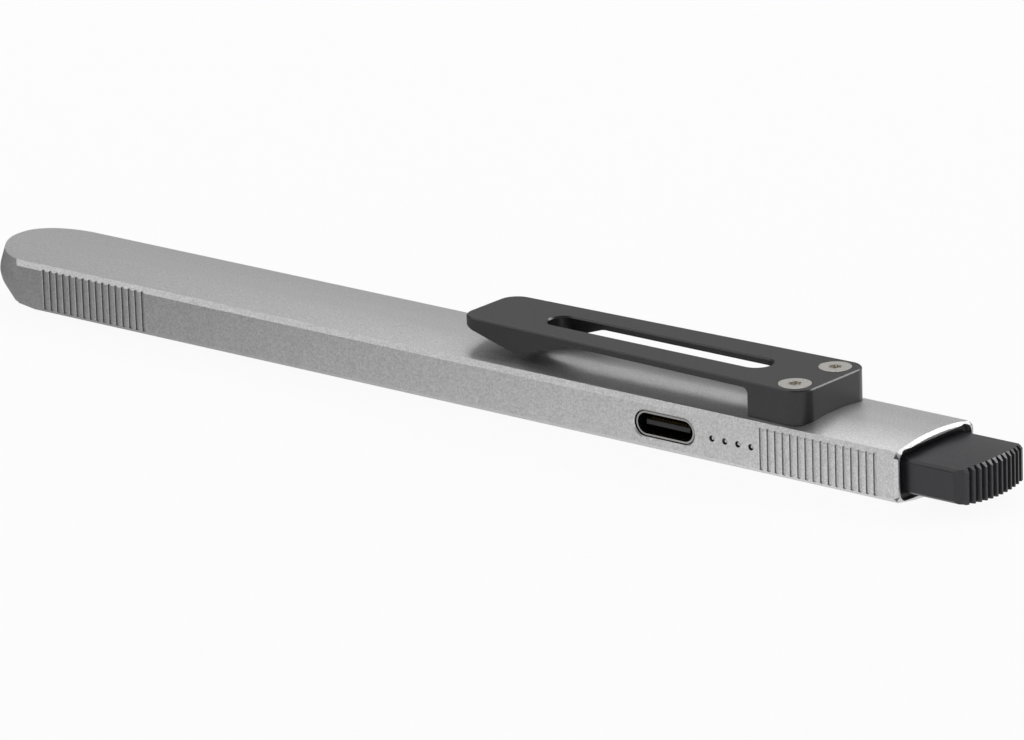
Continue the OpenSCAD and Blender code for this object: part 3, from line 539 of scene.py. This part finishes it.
def end_slot(name, width, height, x0, x1, steps=24):
    """A round-ended bar along the housing."""
    return slab(name, "X", (x0, -width / 2, MID - height / 2), (x1, width / 2, MID + height / 2),
                height / 2, steps)


# Half width, depth and chamfered lip of a grip groove, and how far its ends pass the flat side
GROOVE_HALF = 0.25
GROOVE_DEPTH = 0.25
GROOVE_LIP = 0.1
GROOVE_OVER = 0.2
GROOVE_STEP = 1.126
GROOVE_COUNT = 16
GROOVE_ROWS = (NOSE + 12, RIM - 20.1)

WALL = 1.1
CAVITY_FROM = NOSE + 9.15
CAVITY_R = 0.6
# The pocket for the collar and the button's flange
POCKET_FROM = 60.22
POCKET_SIDE = 0.65
POCKET_ROOF = 0.7
POCKET_R = 1.4

PORT_FROM_RIM = 34.74
PORT_MILLED = 0.18
HOLES_FROM_RIM = 27.42
HOLE_STEP = 1.96
HOLE_COUNT = 4
SCREW_X = RIM - 17.7
SCREW_Y = 3.95
DIAGONAL = 0.7071


def cut_grip(shell, x, sy):
    """A row of round-ended grip grooves, from the groove at x towards the tail."""
    end = SIDE_HALF + GROOVE_OVER
    groove = slab("groove", "Y", (x - GROOVE_HALF, sy * SIDE - GROOVE_DEPTH, MID - end),
                  (x + GROOVE_HALF, sy * SIDE + GROOVE_DEPTH, MID + end), GROOVE_HALF, 8)
    combine(shell, repeat(groove, GROOVE_COUNT, (GROOVE_STEP, 0, 0)))
    first = x - GROOVE_HALF - 0.01
    last = x + (GROOVE_COUNT - 1) * GROOVE_STEP + GROOVE_HALF + 0.01
    bevel(shell, lambda c: first < c.x < last and abs(c.y - sy * SIDE) < NEAR
          and abs(c.z - MID) < SIDE_HALF + NEAR, GROOVE_LIP)


def cut_openings(shell):
    """The charging port with its bevel, the four indicator holes and the screw holes."""
    port_x = RIM - PORT_FROM_RIM
    combine(shell, side_slot("port", port_x, 9.2, 3.3, -SIDE - 1, -5.7))
    mouth = side_slot("mouth", port_x, 9.2 + 2 * PORT_MILLED, 3.3 + 2 * PORT_MILLED, -SIDE - 1,
                      -SIDE + PORT_MILLED)
    bevel(mouth, lambda c: c.y > -SIDE + PORT_MILLED - 0.01, PORT_MILLED)
    combine(shell, mouth)
    hole = rod("hole", "Y", (RIM - HOLES_FROM_RIM, -SIDE - 1, MID), 3.1, 0.4, sides=32)
    combine(shell, repeat(hole, HOLE_COUNT, (HOLE_STEP, 0, 0)))
    for sy in (-1, 1):
        combine(shell, rod("screw_hole", "Z", (SCREW_X, sy * SCREW_Y, MID), TOP, 1.1, sides=48))


def make_housing():
    shell = block("housing_shell", (NOSE - 1, -SIDE, 0), (RIM, SIDE, TOP))
    for up in (True, False):
        combine(shell, crown("crown", up), "INTERSECT")
    for sy in (-1, 1):
        for sz in (-1, 1):
            trim(shell, (0, sy * SIDE, MID + sz * SIDE_HALF), (0, sy, sz))
            trim(shell, (RIM - RIM_C, sy * SIDE, MID + sz * SIDE_HALF),
                 (1, sy * DIAGONAL, sz * DIAGONAL))
        trim(shell, (RIM - RIM_C, sy * SIDE, 0), (1, sy, 0))
    for z, sz in ((0, -1), (TOP, 1)):
        trim(shell, (RIM - RIM_C, 0, z), (1, 0, sz))
    # The flat sides end in a slant that runs into the nose, and so does the lower edge
    rest = block("rest", (NOSE + NOSE_R - NOSE_REACH, -10, 0), (RIM + 1, 10, TOP))
    for sy in (-1, 1):
        trim(rest, (NOSE + NOSE_MEETS, sy * SIDE, 0), (-1, sy, 0))
    combine(shell, combine(nose_round("nose", NOSE_R), rest, "UNION"), "INTERSECT")
    for sy in (-1, 1):
        trim(shell, (NOSE + NOSE_MEETS, sy * SIDE, MID - SIDE_HALF),
             (FACET[0], sy * FACET[1], FACET[2]))
    # Cavity, tail pocket, lens seat and light opening
    combine(shell, slab("cavity", "X", (CAVITY_FROM, WALL - SIDE, WALL),
                        (RIM + 1, SIDE - WALL, TOP - WALL), CAVITY_R, 6))
    combine(shell, slab("pocket", "X", (POCKET_FROM, POCKET_SIDE - SIDE, POCKET_ROOF),
                        (RIM + 1, SIDE - POCKET_SIDE, TOP - POCKET_ROOF), POCKET_R, 12))
    combine(shell, end_slot("seat", 9.4, 5.2, NOSE + 2.55, NOSE + 10))
    combine(shell, end_slot("window", 8.0, 3.8, NOSE - 1, NOSE + 3))
    for x in GROOVE_ROWS:
        for sy in (-1, 1):
            cut_grip(shell, x, sy)
    cut_openings(shell)
    return complete(shell, "housing", "silver_anodised", silver, "housing")


make_housing()

# ---------------------------------------------------------------- clip and its screws

CLIP_FRONT = clip_low.x
CLIP_END = clip_high.x
CLIP_TOP = clip_high.z
CLIP_NOSE_T = 1.0
CLIP_W = 13.5
CLIP_TIP_W = 10.5
CLIP_CORNER_R = 2.4
# Along the clip, from its tip: the foot's ends, where the arm is free, and the block from the end
FOOT_FROM = 8.8
FOOT_TO = 10.3
ARM_FROM = 16.9
ARM_T = 0.85
BLOCK_L = 8.3
SLOT_HALF = 1.95
SLOT_C = 0.2
HEAD_R = 2.05
SEAT_GAP = 0.03
RECESS_R = 0.66
RECESS_DEPTH = 0.7


def make_clip():
    # Side view, drawn out station by station: front edge, foot, sole, ramp, arm and block
    low_z = CLIP_TOP - CLIP_NOSE_T
    profile = block("pocket_clip_body", (CLIP_FRONT - 0.5, -7, low_z),
                    (CLIP_FRONT, 7, CLIP_TOP + 1))
    x = CLIP_FRONT
    arm_z = CLIP_TOP - ARM_T
    for next_x, next_z in ((CLIP_FRONT + FOOT_FROM, TOP + 0.5), (CLIP_FRONT + FOOT_TO, TOP + 0.75),
                           (CLIP_FRONT + ARM_FROM, arm_z), (CLIP_END - BLOCK_L, arm_z),
                           (CLIP_END + 0.5, arm_z)):
        pick(profile, lambda c: c.x > x - NEAR, "FACE")
        bpy.ops.mesh.extrude_region_move(TRANSFORM_OT_translate={"value": (next_x - x, 0, 0)})
        leave(profile)
        if abs(next_z - low_z) > NEAR:
            move(profile, lambda c: c.x > next_x - NEAR and c.z < low_z + NEAR,
                 (0, 0, next_z - low_z))
        x, low_z = next_x, next_z
    pick(profile, lambda c: c.x > CLIP_END - BLOCK_L - NEAR and c.z < low_z + NEAR, "FACE")
    bpy.ops.mesh.extrude_region_move(TRANSFORM_OT_translate={"value": (0, 0, TOP - 1.6 - low_z)})
    leave(profile)
    bevel(profile, lambda c: abs(c.x - CLIP_END + BLOCK_L) < NEAR and abs(c.z - low_z) < NEAR,
          0.7, 10)
    bevel(profile, lambda c: abs(c.x - CLIP_FRONT - ARM_FROM) < NEAR and c.z < CLIP_TOP - 0.5,
          0.4, 5)
    for along in (FOOT_FROM, FOOT_TO):
        bevel(profile, lambda c: abs(c.x - CLIP_FRONT - along) < NEAR and c.z < CLIP_TOP - 2, 0.1, 3)
    # Plan: tapered towards the tip, round corners, 0.15 mm chamfer round the top face
    plan = block("plan", (CLIP_FRONT, -CLIP_W / 2, 4), (CLIP_END, CLIP_W / 2, CLIP_TOP))
    pick(plan, lambda c: c.x < CLIP_FRONT + NEAR, "VERT")
    bpy.ops.transform.resize(value=(1, CLIP_TIP_W / CLIP_W, 1), center_override=(CLIP_FRONT, 0, 0))
    leave(plan)
    long_edges(plan, "Z", CLIP_CORNER_R, 16)
    bevel(plan, lambda c: c.z > CLIP_TOP - NEAR, 0.15)
    combine(profile, plan, "INTERSECT")
    # Slot with a chamfered rim
    x0, x1 = CLIP_FRONT + FOOT_TO, CLIP_END - 9.9
    combine(profile, slab("slot", "Z", (x0, -SLOT_HALF, 5), (x1, SLOT_HALF, CLIP_TOP + 1),
                          SLOT_HALF, 24))
    wide = SLOT_HALF + SLOT_C
    flare = slab("flare", "Z", (x0 - SLOT_C, -wide, CLIP_TOP - SLOT_C),
                 (x1 + SLOT_C, wide, CLIP_TOP + 1), wide, 24)
    bevel(flare, lambda c: c.z < CLIP_TOP - SLOT_C + 0.01, SLOT_C)
    combine(profile, flare)
    # Underside of the block follows the crown
    combine(profile, crown("saddle", True, radius=CROWN_R + 0.03, start=CLIP_END - 9.5,
                           end=CLIP_END + 2, rim=0))
    for sy in (-1, 1):
        y = sy * SCREW_Y
        combine(profile, rod("shank", "Z", (SCREW_X, y, 4), 10, 1.1, sides=48))
        seat_r = HEAD_R + SEAT_GAP
        combine(profile, rod("seat", "Z", (SCREW_X, y, CLIP_TOP - 1 - SEAT_GAP), 1.0, 1 + SEAT_GAP,
                             seat_r))
        combine(profile, rod("mouth", "Z", (SCREW_X, y, CLIP_TOP - SEAT_GAP), 1.0, seat_r,
                             seat_r + 1))
    return complete(profile, "housing", "black_anodised", clip_black, "pocket_clip")


def make_screw(name, y):
    """A countersunk screw with a six-lobed recess, and its thread down to the nut plate."""
    head = rod(name, "Z", (SCREW_X, y, CLIP_TOP - 1), 1.0, 1.0, HEAD_R)
    bevel(head, lambda c: c.z > CLIP_TOP - NEAR, 0.05, 2)
    combine(head, rod("thread", "Z", (SCREW_X, y, TOP - 2.3), CLIP_TOP - 1 - TOP + 2.35, 0.999,
                      sides=64), "UNION")
    floor_z = CLIP_TOP - RECESS_DEPTH
    star = rod("star", "Z", (SCREW_X, y, floor_z), 1.0, RECESS_R, sides=48)
    for k in range(6):
        a = math.radians(60 * k)
        lobe = rod("lobe", "Z", (SCREW_X + RECESS_R * math.cos(a), y + RECESS_R * math.sin(a),
                                 floor_z), 1.0, 0.2, sides=24)
        combine(star, lobe, "UNION")
    combine(head, star)
    return complete(head, "housing", "screw_steel", screw_steel)


make_clip()
near_screw = make_screw("clip_screw_near", -SCREW_Y)
make_screw("clip_screw_far", SCREW_Y)
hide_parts("clip_screws")

# ---------------------------------------------------------------- button, seal and collar

BUTTON_END = button_high.x
BUTTON_W = 12.6
BUTTON_H = 4.7
BUTTON_SIDE = 3.6
BUTTON_CROWN = 80.0
BUTTON_EDGE = 0.35
# The end is a barrel in plan, with its corners cut back
BARREL_R = 20.0
BARREL_C = 0.55
CORNER_IN = 0.65
CORNER_L = 2.2
THUMB_COUNT = 11
THUMB_STEP = 0.97
THUMB_DEPTH = 0.55
THUMB_HALF = 0.15
FLANGE_FROM = 62.12
FLANGE_TO = 63.62
COLLAR_FROM = 63.65
COLLAR_TO = 68.45


def button_section(name, x0, x1, gap):
    """A bar with the button's section: flat sides, chamfers and a slight crown."""
    width, height = BUTTON_W + 2 * gap, BUTTON_H + 2 * gap
    edge = BUTTON_EDGE + gap
    bar = block(name, (x0, -width / 2, MID - height / 2 - 0.01),
                (x1, width / 2, MID + height / 2 + 0.01))
    for up in (True, False):
        combine(bar, crown("crown", up, BUTTON_CROWN, BUTTON_CROWN - height / 2, x0 - 1, x1 + 1, 0),
                "INTERSECT")
    shoulder = height / 2 - (BUTTON_CROWN - math.sqrt(BUTTON_CROWN ** 2 - (width / 2 - edge) ** 2))
    rise = shoulder - BUTTON_SIDE / 2
    for sy in (-1, 1):
        for sz in (-1, 1):
            trim(bar, (0, sy * width / 2, MID + sz * BUTTON_SIDE / 2), (0, sy * rise, sz * edge))
    return bar


def make_button():
    bar = button_section("tail_button", FLANGE_FROM, BUTTON_END, 0)
    long_edges(bar, "X", 0.1, 3, lambda c: abs(c.y) > BUTTON_W / 2 - BUTTON_EDGE - NEAR)
    barrel = rod("barrel", "Z", (BUTTON_END - BARREL_R, 0, -1), MID + BUTTON_H / 2 + 1, BARREL_R,
                 sides=720)
    bevel(barrel, lambda c: c.z > MID + BUTTON_H / 2 - NEAR, BARREL_C)
    combine(bar, barrel, "INTERSECT")
    half = BUTTON_W / 2
    for sy in (-1, 1):
        inner, outer = sorted((sy * (half - CORNER_IN), sy * (half + 1)))
        corner = block("corner", (BUTTON_END - 4, inner, -1), (BUTTON_END + 1, outer, TOP))
        trim(corner, (BUTTON_END - CORNER_L, sy * half, 0), (-CORNER_IN, -sy * 1.3, 0))
        combine(bar, corner)
    for k in range(THUMB_COUNT):
        # A groove across the end, three times as wide at its mouth as at its floor
        y = (k - THUMB_COUNT // 2) * THUMB_STEP
        crest = BUTTON_END - (BARREL_R - math.sqrt(BARREL_R ** 2 - y * y))
        groove = block("groove", (crest - THUMB_DEPTH, y - THUMB_HALF, -1),
                       (crest + 0.3, y + THUMB_HALF, TOP + 1))
        pick(groove, lambda c: c.x > crest, "VERT")
        bpy.ops.transform.resize(value=(1, 3, 1), center_override=(crest, y, 0))
        leave(groove)
        combine(bar, groove)
    flange = slab("flange", "X", (FLANGE_FROM, -6.95, 0.9), (FLANGE_TO, 6.95, TOP - 0.9), POCKET_R,
                  12)
    combine(bar, flange, "UNION")
    combine(bar, rod("push_rod", "X", (60.12, 0, MID), 2.5, 1.3, sides=64), "UNION")
    return complete(bar, "button", "button_plastic", button_black, "button", angle=24)


def make_seal():
    ring = button_section("button_seal_ring", COLLAR_TO - 0.9, COLLAR_TO, 0.3)
    bevel(ring, lambda c: c.x > COLLAR_TO - NEAR, 0.08, 3)
    combine(ring, button_section("bore", 66, 70, 0.04))
    return complete(ring, "housing", "black_rubber", rubber, "button_seal")


def make_collar():
    collar = slab("tail_collar_guide", "X", (COLLAR_FROM, -7.12, 0.73), (COLLAR_TO, 7.12, TOP - 0.73),
                  POCKET_R, 12)
    bevel(collar, lambda c: c.x > COLLAR_TO - NEAR, 0.1, 2)
    combine(collar, button_section("bore", 63, 70, 0.1))
    combine(collar, button_section("seat", 67.52, 70, 0.33))
    return complete(collar, "housing", "collar_plastic", collar_black, "tail_collar")


make_button()
make_seal()
make_collar()

# ---------------------------------------------------------------- charging port and light guide

PORT_X = (port_low.x + port_high.x) / 2
PORT_MOUTH = port_low.y
PORT_BACK = port_high.y
BOARD_TOP = guide_low.z
TONGUE_W = 6.69
TONGUE_T = 0.7
TONGUE_IN = 0.6
PIN_END = -7.6


def make_port_shell():
    shell = side_slot("port_shell", PORT_X, 8.94, 3.16, PORT_MOUTH, PORT_BACK)
    bevel(shell, lambda c: c.y < PORT_MOUTH + NEAR, 0.08, 3)
    for y in (PORT_BACK - 7.35 / 2, PORT_BACK - 1):
        combine(shell, block("bracket", (PORT_X - 5.27, y, BOARD_TOP),
                             (PORT_X + 5.27, y + 1 - NEAR, MID)), "UNION")
    combine(shell, side_slot("bore", PORT_X, 8.38, 2.6, PORT_MOUTH - 1, PORT_BACK + 1))
    return complete(shell, "housing", "port_steel", port_metal, "usb_shell")


def make_tongue():
    tongue = block("port_tongue", (PORT_X - TONGUE_W / 2, PORT_MOUTH + TONGUE_IN, MID - TONGUE_T / 2),
                   (PORT_X + TONGUE_W / 2, PORT_BACK - 1.3, MID + TONGUE_T / 2))
    bevel(tongue, lambda c: c.y < PORT_MOUTH + TONGUE_IN + NEAR, 0.12, 3)
    combine(tongue, side_slot("plug", PORT_X, 8.35, 2.57, PORT_BACK - 1.4, PORT_BACK), "UNION")
    return complete(tongue, "housing", "port_plastic", tongue_black, "usb_tongue")


def make_guide():
    guide = block("indicator_guide", (guide_low.x, -6.6, BOARD_TOP + 0.7),
                  (guide_high.x, -5.15, MID + 0.8))
    for x in (guide_low.x, guide_high.x - 0.6):
        foot = block("foot", (x, -5.85, BOARD_TOP), (x + 0.6, -5.15, BOARD_TOP + 0.8))
        combine(guide, foot, "UNION")
    for k in range(HOLE_COUNT):
        pin = rod("pin", "Y", (RIM - HOLES_FROM_RIM + HOLE_STEP * k, PIN_END, MID), 1.2, 0.27,
                  sides=32)
        bevel(pin, lambda c: c.y < PIN_END + NEAR, 0.14, 4)
        combine(guide, pin, "UNION")
    return complete(guide, "housing", "clear_acrylic", acrylic, "light_guide")


make_port_shell()
make_tongue()
make_guide()

# ---------------------------------------------------------------- lens, reflector and light source


BOWL_FROM = NOSE + 4.15
BOWL_L = 4.0
BELLY = 0.16


def make_lens():
    front = end_slot("lens", 7.8, 3.6, NOSE - 0.5, NOSE + 3.2)
    combine(front, nose_round("front", NOSE_R - 0.1), "INTERSECT")
    plate = end_slot("lens_plate", 9.2, 5.0, NOSE + 2.95, BOWL_FROM)
    bevel(plate, lambda c: c.x < NOSE + 2.95 + NEAR, 0.1, 2)
    combine(plate, front, "UNION")
    return complete(plate, "housing", "lens_glass", glass, "lens_window")


def make_reflector():
    body = end_slot("reflector_bowl", 9.2, 5.0, BOWL_FROM, NOSE + 8.15)
    bowl = rod("bowl", "X", (BOWL_FROM - 0.01, 0, MID), 4.02, 2.2, 1.55)
    # The bowl's wall is bellied like a parabola between its mouth and its neck
    only(bowl)
    for share in (0.3, 0.6, 0.85):
        bpy.ops.object.mode_set(mode="EDIT")
        bpy.ops.mesh.select_all(action="SELECT")
        bpy.ops.mesh.bisect(plane_co=(BOWL_FROM + BOWL_L * share, 0, 0), plane_no=(1, 0, 0))
        wider = 1.0 + BELLY * share
        bpy.ops.transform.resize(value=(1, wider, wider), center_override=(0, 0, MID))
        bpy.ops.object.mode_set(mode="OBJECT")
    combine(body, bowl)
    return complete(body, "housing", "reflector_metal", mirror, "reflector", angle=25)


def make_emitter():
    x = NOSE + 8.15
    package = block("light_source", (x - 0.6, -1, MID - 1), (x, 1, MID + 1))
    bevel(package, lambda c: c.x < x - 0.6 + NEAR, 0.06, 2)
    clear_selection()
    bpy.ops.mesh.primitive_uv_sphere_add(segments=48, ring_count=24, radius=0.8,
                                         location=(x - 0.6, 0, MID), rotation=TURNS["X"])
    dome = fresh("dome")
    trim(dome, (x - 0.3, 0, 0), (1, 0, 0))
    combine(package, dome, "UNION")
    return complete(package, "housing", "led_phosphor", phosphor, "led_emitter")


make_lens()
make_reflector()
make_emitter()

# ---------------------------------------------------------------- camera

# Found by fitting the housing's edges, grooves, port and clip in the photograph
TURN, RISE, ROLL = math.radians(39.96), math.radians(17.67), math.radians(1.86)
AWAY, ASIDE, ABOVE = 942.7, 22.92, 5.70
FOCAL_PIXELS, PICTURE_PIXELS = 7828, 1024
SENSOR = 36.0
back = Vector((math.sin(TURN) * math.cos(RISE), -math.cos(TURN) * math.cos(RISE), math.sin(RISE)))
right = Vector((math.cos(TURN), math.sin(TURN), 0))
up = back.cross(right)
spot = Vector((RIM - PORT_FROM_RIM, 0, MID)) + back * AWAY - right * ASIDE + up * ABOVE
right_rolled = right * math.cos(ROLL) - up * math.sin(ROLL)
up_rolled = right * math.sin(ROLL) + up * math.cos(ROLL)

lens_data = bpy.data.cameras.new("photo_camera")
lens_data.sensor_width = SENSOR
lens_data.lens = FOCAL_PIXELS / PICTURE_PIXELS * SENSOR
camera = bpy.data.objects.new("photo_camera", lens_data)
bpy.context.scene.collection.objects.link(camera)
turned = Matrix((right_rolled, up_rolled, back)).transposed().to_4x4()
camera.matrix_world = Matrix.Translation(spot * MM) @ turned
bpy.context.scene.camera = camera

# ---------------------------------------------------------------- floor, backdrop and light


# How much of what the camera sees of the paper is plain white: the rest keeps the shadow
EYE_SHARE = 0.93


def stage_white(name, span, tones, rise=(0, 1), fade=(1, 1)):
    """Paper that is white to the camera and keeps the shadow, graded in reflections.

    span is where the grade along X starts and ends, in metres, and tones is how bright the
    paper is there to metal and glass, where 1 is white. rise and fade are the same for the
    grade along Z, and the two are multiplied. A camera behind the paper sees through it.
    """
    material = bpy.data.materials.new(name)
    material.use_nodes = True
    tree = material.node_tree
    tree.nodes.clear()
    path = add(tree, "ShaderNodeLightPath")
    place = add(tree, "ShaderNodeTexCoord")
    apart = add(tree, "ShaderNodeSeparateXYZ", {"Vector": place.outputs["Object"]})
    grade = add(tree, "ShaderNodeMapRange", {
        "Value": apart.outputs["X"], "From Min": span[0], "From Max": span[1],
        "To Min": tones[0], "To Max": tones[1]})
    climb = add(tree, "ShaderNodeMapRange", {
        "Value": apart.outputs["Z"], "From Min": rise[0], "From Max": rise[1],
        "To Min": fade[0], "To Max": fade[1]})
    graded = add(tree, "ShaderNodeMath", {
        0: grade.outputs["Result"], 1: climb.outputs["Result"]}, operation="MULTIPLY")
    mirrored = add(tree, "ShaderNodeMath", {
        0: path.outputs["Is Glossy Ray"], 1: path.outputs["Is Transmission Ray"]},
        operation="MAXIMUM")
    eye = add(tree, "ShaderNodeMath", {0: path.outputs["Is Camera Ray"], 1: EYE_SHARE},
              operation="MULTIPLY")
    share = add(tree, "ShaderNodeMath", {0: eye.outputs[0], 1: mirrored.outputs[0]},
                operation="MAXIMUM")
    level = add(tree, "ShaderNodeMath", {
        0: path.outputs["Is Camera Ray"], 1: graded.outputs[0]}, operation="MAXIMUM")
    paper = add(tree, "ShaderNodeBsdfDiffuse", {"Color": linear("#F0F0F0"), "Roughness": 0.5})
    white = add(tree, "ShaderNodeEmission", {
        "Color": (1, 1, 1, 1), "Strength": level.outputs[0]})
    both = add(tree, "ShaderNodeMixShader", {
        "Fac": share.outputs[0], 1: paper.outputs["BSDF"], 2: white.outputs["Emission"]})
    side = add(tree, "ShaderNodeNewGeometry")
    outside = add(tree, "ShaderNodeMath", {
        0: side.outputs["Backfacing"], 1: path.outputs["Is Camera Ray"]}, operation="MULTIPLY")
    clear = add(tree, "ShaderNodeBsdfTransparent", {"Color": (1, 1, 1, 1)})
    seen = add(tree, "ShaderNodeMixShader", {
        "Fac": outside.outputs[0], 1: both.outputs["Shader"], 2: clear.outputs["BSDF"]})
    add(tree, "ShaderNodeOutputMaterial", {"Surface": seen.outputs["Shader"]})
    return material


FLOOR_R = 1.3
SWEEP_R = 0.35
SWEEP_STEPS = 8
WALL_TOP = 1.4
FLOOR_Z = -0.0002


def make_floor():
    """A round white floor whose edge curves up into a low wall all round."""
    clear_selection()
    bpy.ops.mesh.primitive_circle_add(vertices=96, radius=FLOOR_R, fill_type="NGON",
                                      location=(0, 0, FLOOR_Z))
    floor = fresh("studio_sweep")
    # Painted light: to metal and glass the floor is darker towards the nose end and brighter towards
    # the tail, as if lit from that side
    floor.data.materials.append(stage_white("white_paper_floor", (-0.1, 0.05), (0.2, 1.0)))
    # Painted light: to metal and glass the wall is darker towards the far left and dims above 0.75 m
    floor.data.materials.append(stage_white("white_paper_wall", (-1.7, -1.1), (0.15, 0.42),
                                            (0.75, 1.4), (1.0, 0.4)))
    turns = [math.radians(90 / SWEEP_STEPS * k) for k in range(SWEEP_STEPS + 1)]
    rings = [(FLOOR_R + SWEEP_R * math.sin(a), SWEEP_R * (1 - math.cos(a))) for a in turns]
    rings.append((FLOOR_R + SWEEP_R, WALL_TOP))
    for (r0, z0), (r1, z1) in zip(rings, rings[1:]):
        pick(floor, lambda c: math.hypot(c.x, c.y) > r0 - NEAR and c.z > z0 - NEAR)
        bpy.ops.mesh.extrude_edges_move(TRANSFORM_OT_translate={"value": (0, 0, z1 - z0)})
        bpy.ops.transform.resize(value=(r1 / r0, r1 / r0, 1), center_override=(0, 0, 0))
        leave(floor)
    only(floor)
    bpy.ops.object.shade_smooth()
    for face in floor.data.polygons:
        face.material_index = 1 if face.center.z > 0.001 else 0


make_floor()


def lamp(name, place, aim, size, watts):
    """A square soft box that faces a point."""
    data = bpy.data.lights.new(name, "AREA")
    data.shape = "SQUARE"
    data.size = size
    data.energy = watts
    light = bpy.data.objects.new(name, data)
    bpy.context.scene.collection.objects.link(light)
    light.location = place
    light.rotation_euler = (Vector(aim) - Vector(place)).to_track_quat("-Z", "Y").to_euler()
    return light


lamp("rear_overhead_soft_box", (-0.3, 0.6, 1.1), (0, 0, 0), 0.75, 5.0)
lamp("left_front_soft_box", (-0.8, -0.4, 0.95), (0, 0, 0), 0.8, 2.6)
lamp("rear_soft_box", (0.42, 1.02, 0.86), (0, 0, 0), 0.5, 6.5)
lamp("right_front_low_box", (1.14, -0.96, 0.16), (0, 0, 0), 0.28, 1.8)

world = bpy.data.worlds.new("pale_room")
bpy.context.scene.world = world
world.use_nodes = True
world.node_tree.nodes.clear()
room = add(world.node_tree, "ShaderNodeBackground", {"Color": linear("#DADADA"), "Strength": 0.38})
add(world.node_tree, "ShaderNodeOutputWorld", {"Surface": room.outputs["Background"]})

bpy.context.scene.view_settings.view_transform = "Standard"
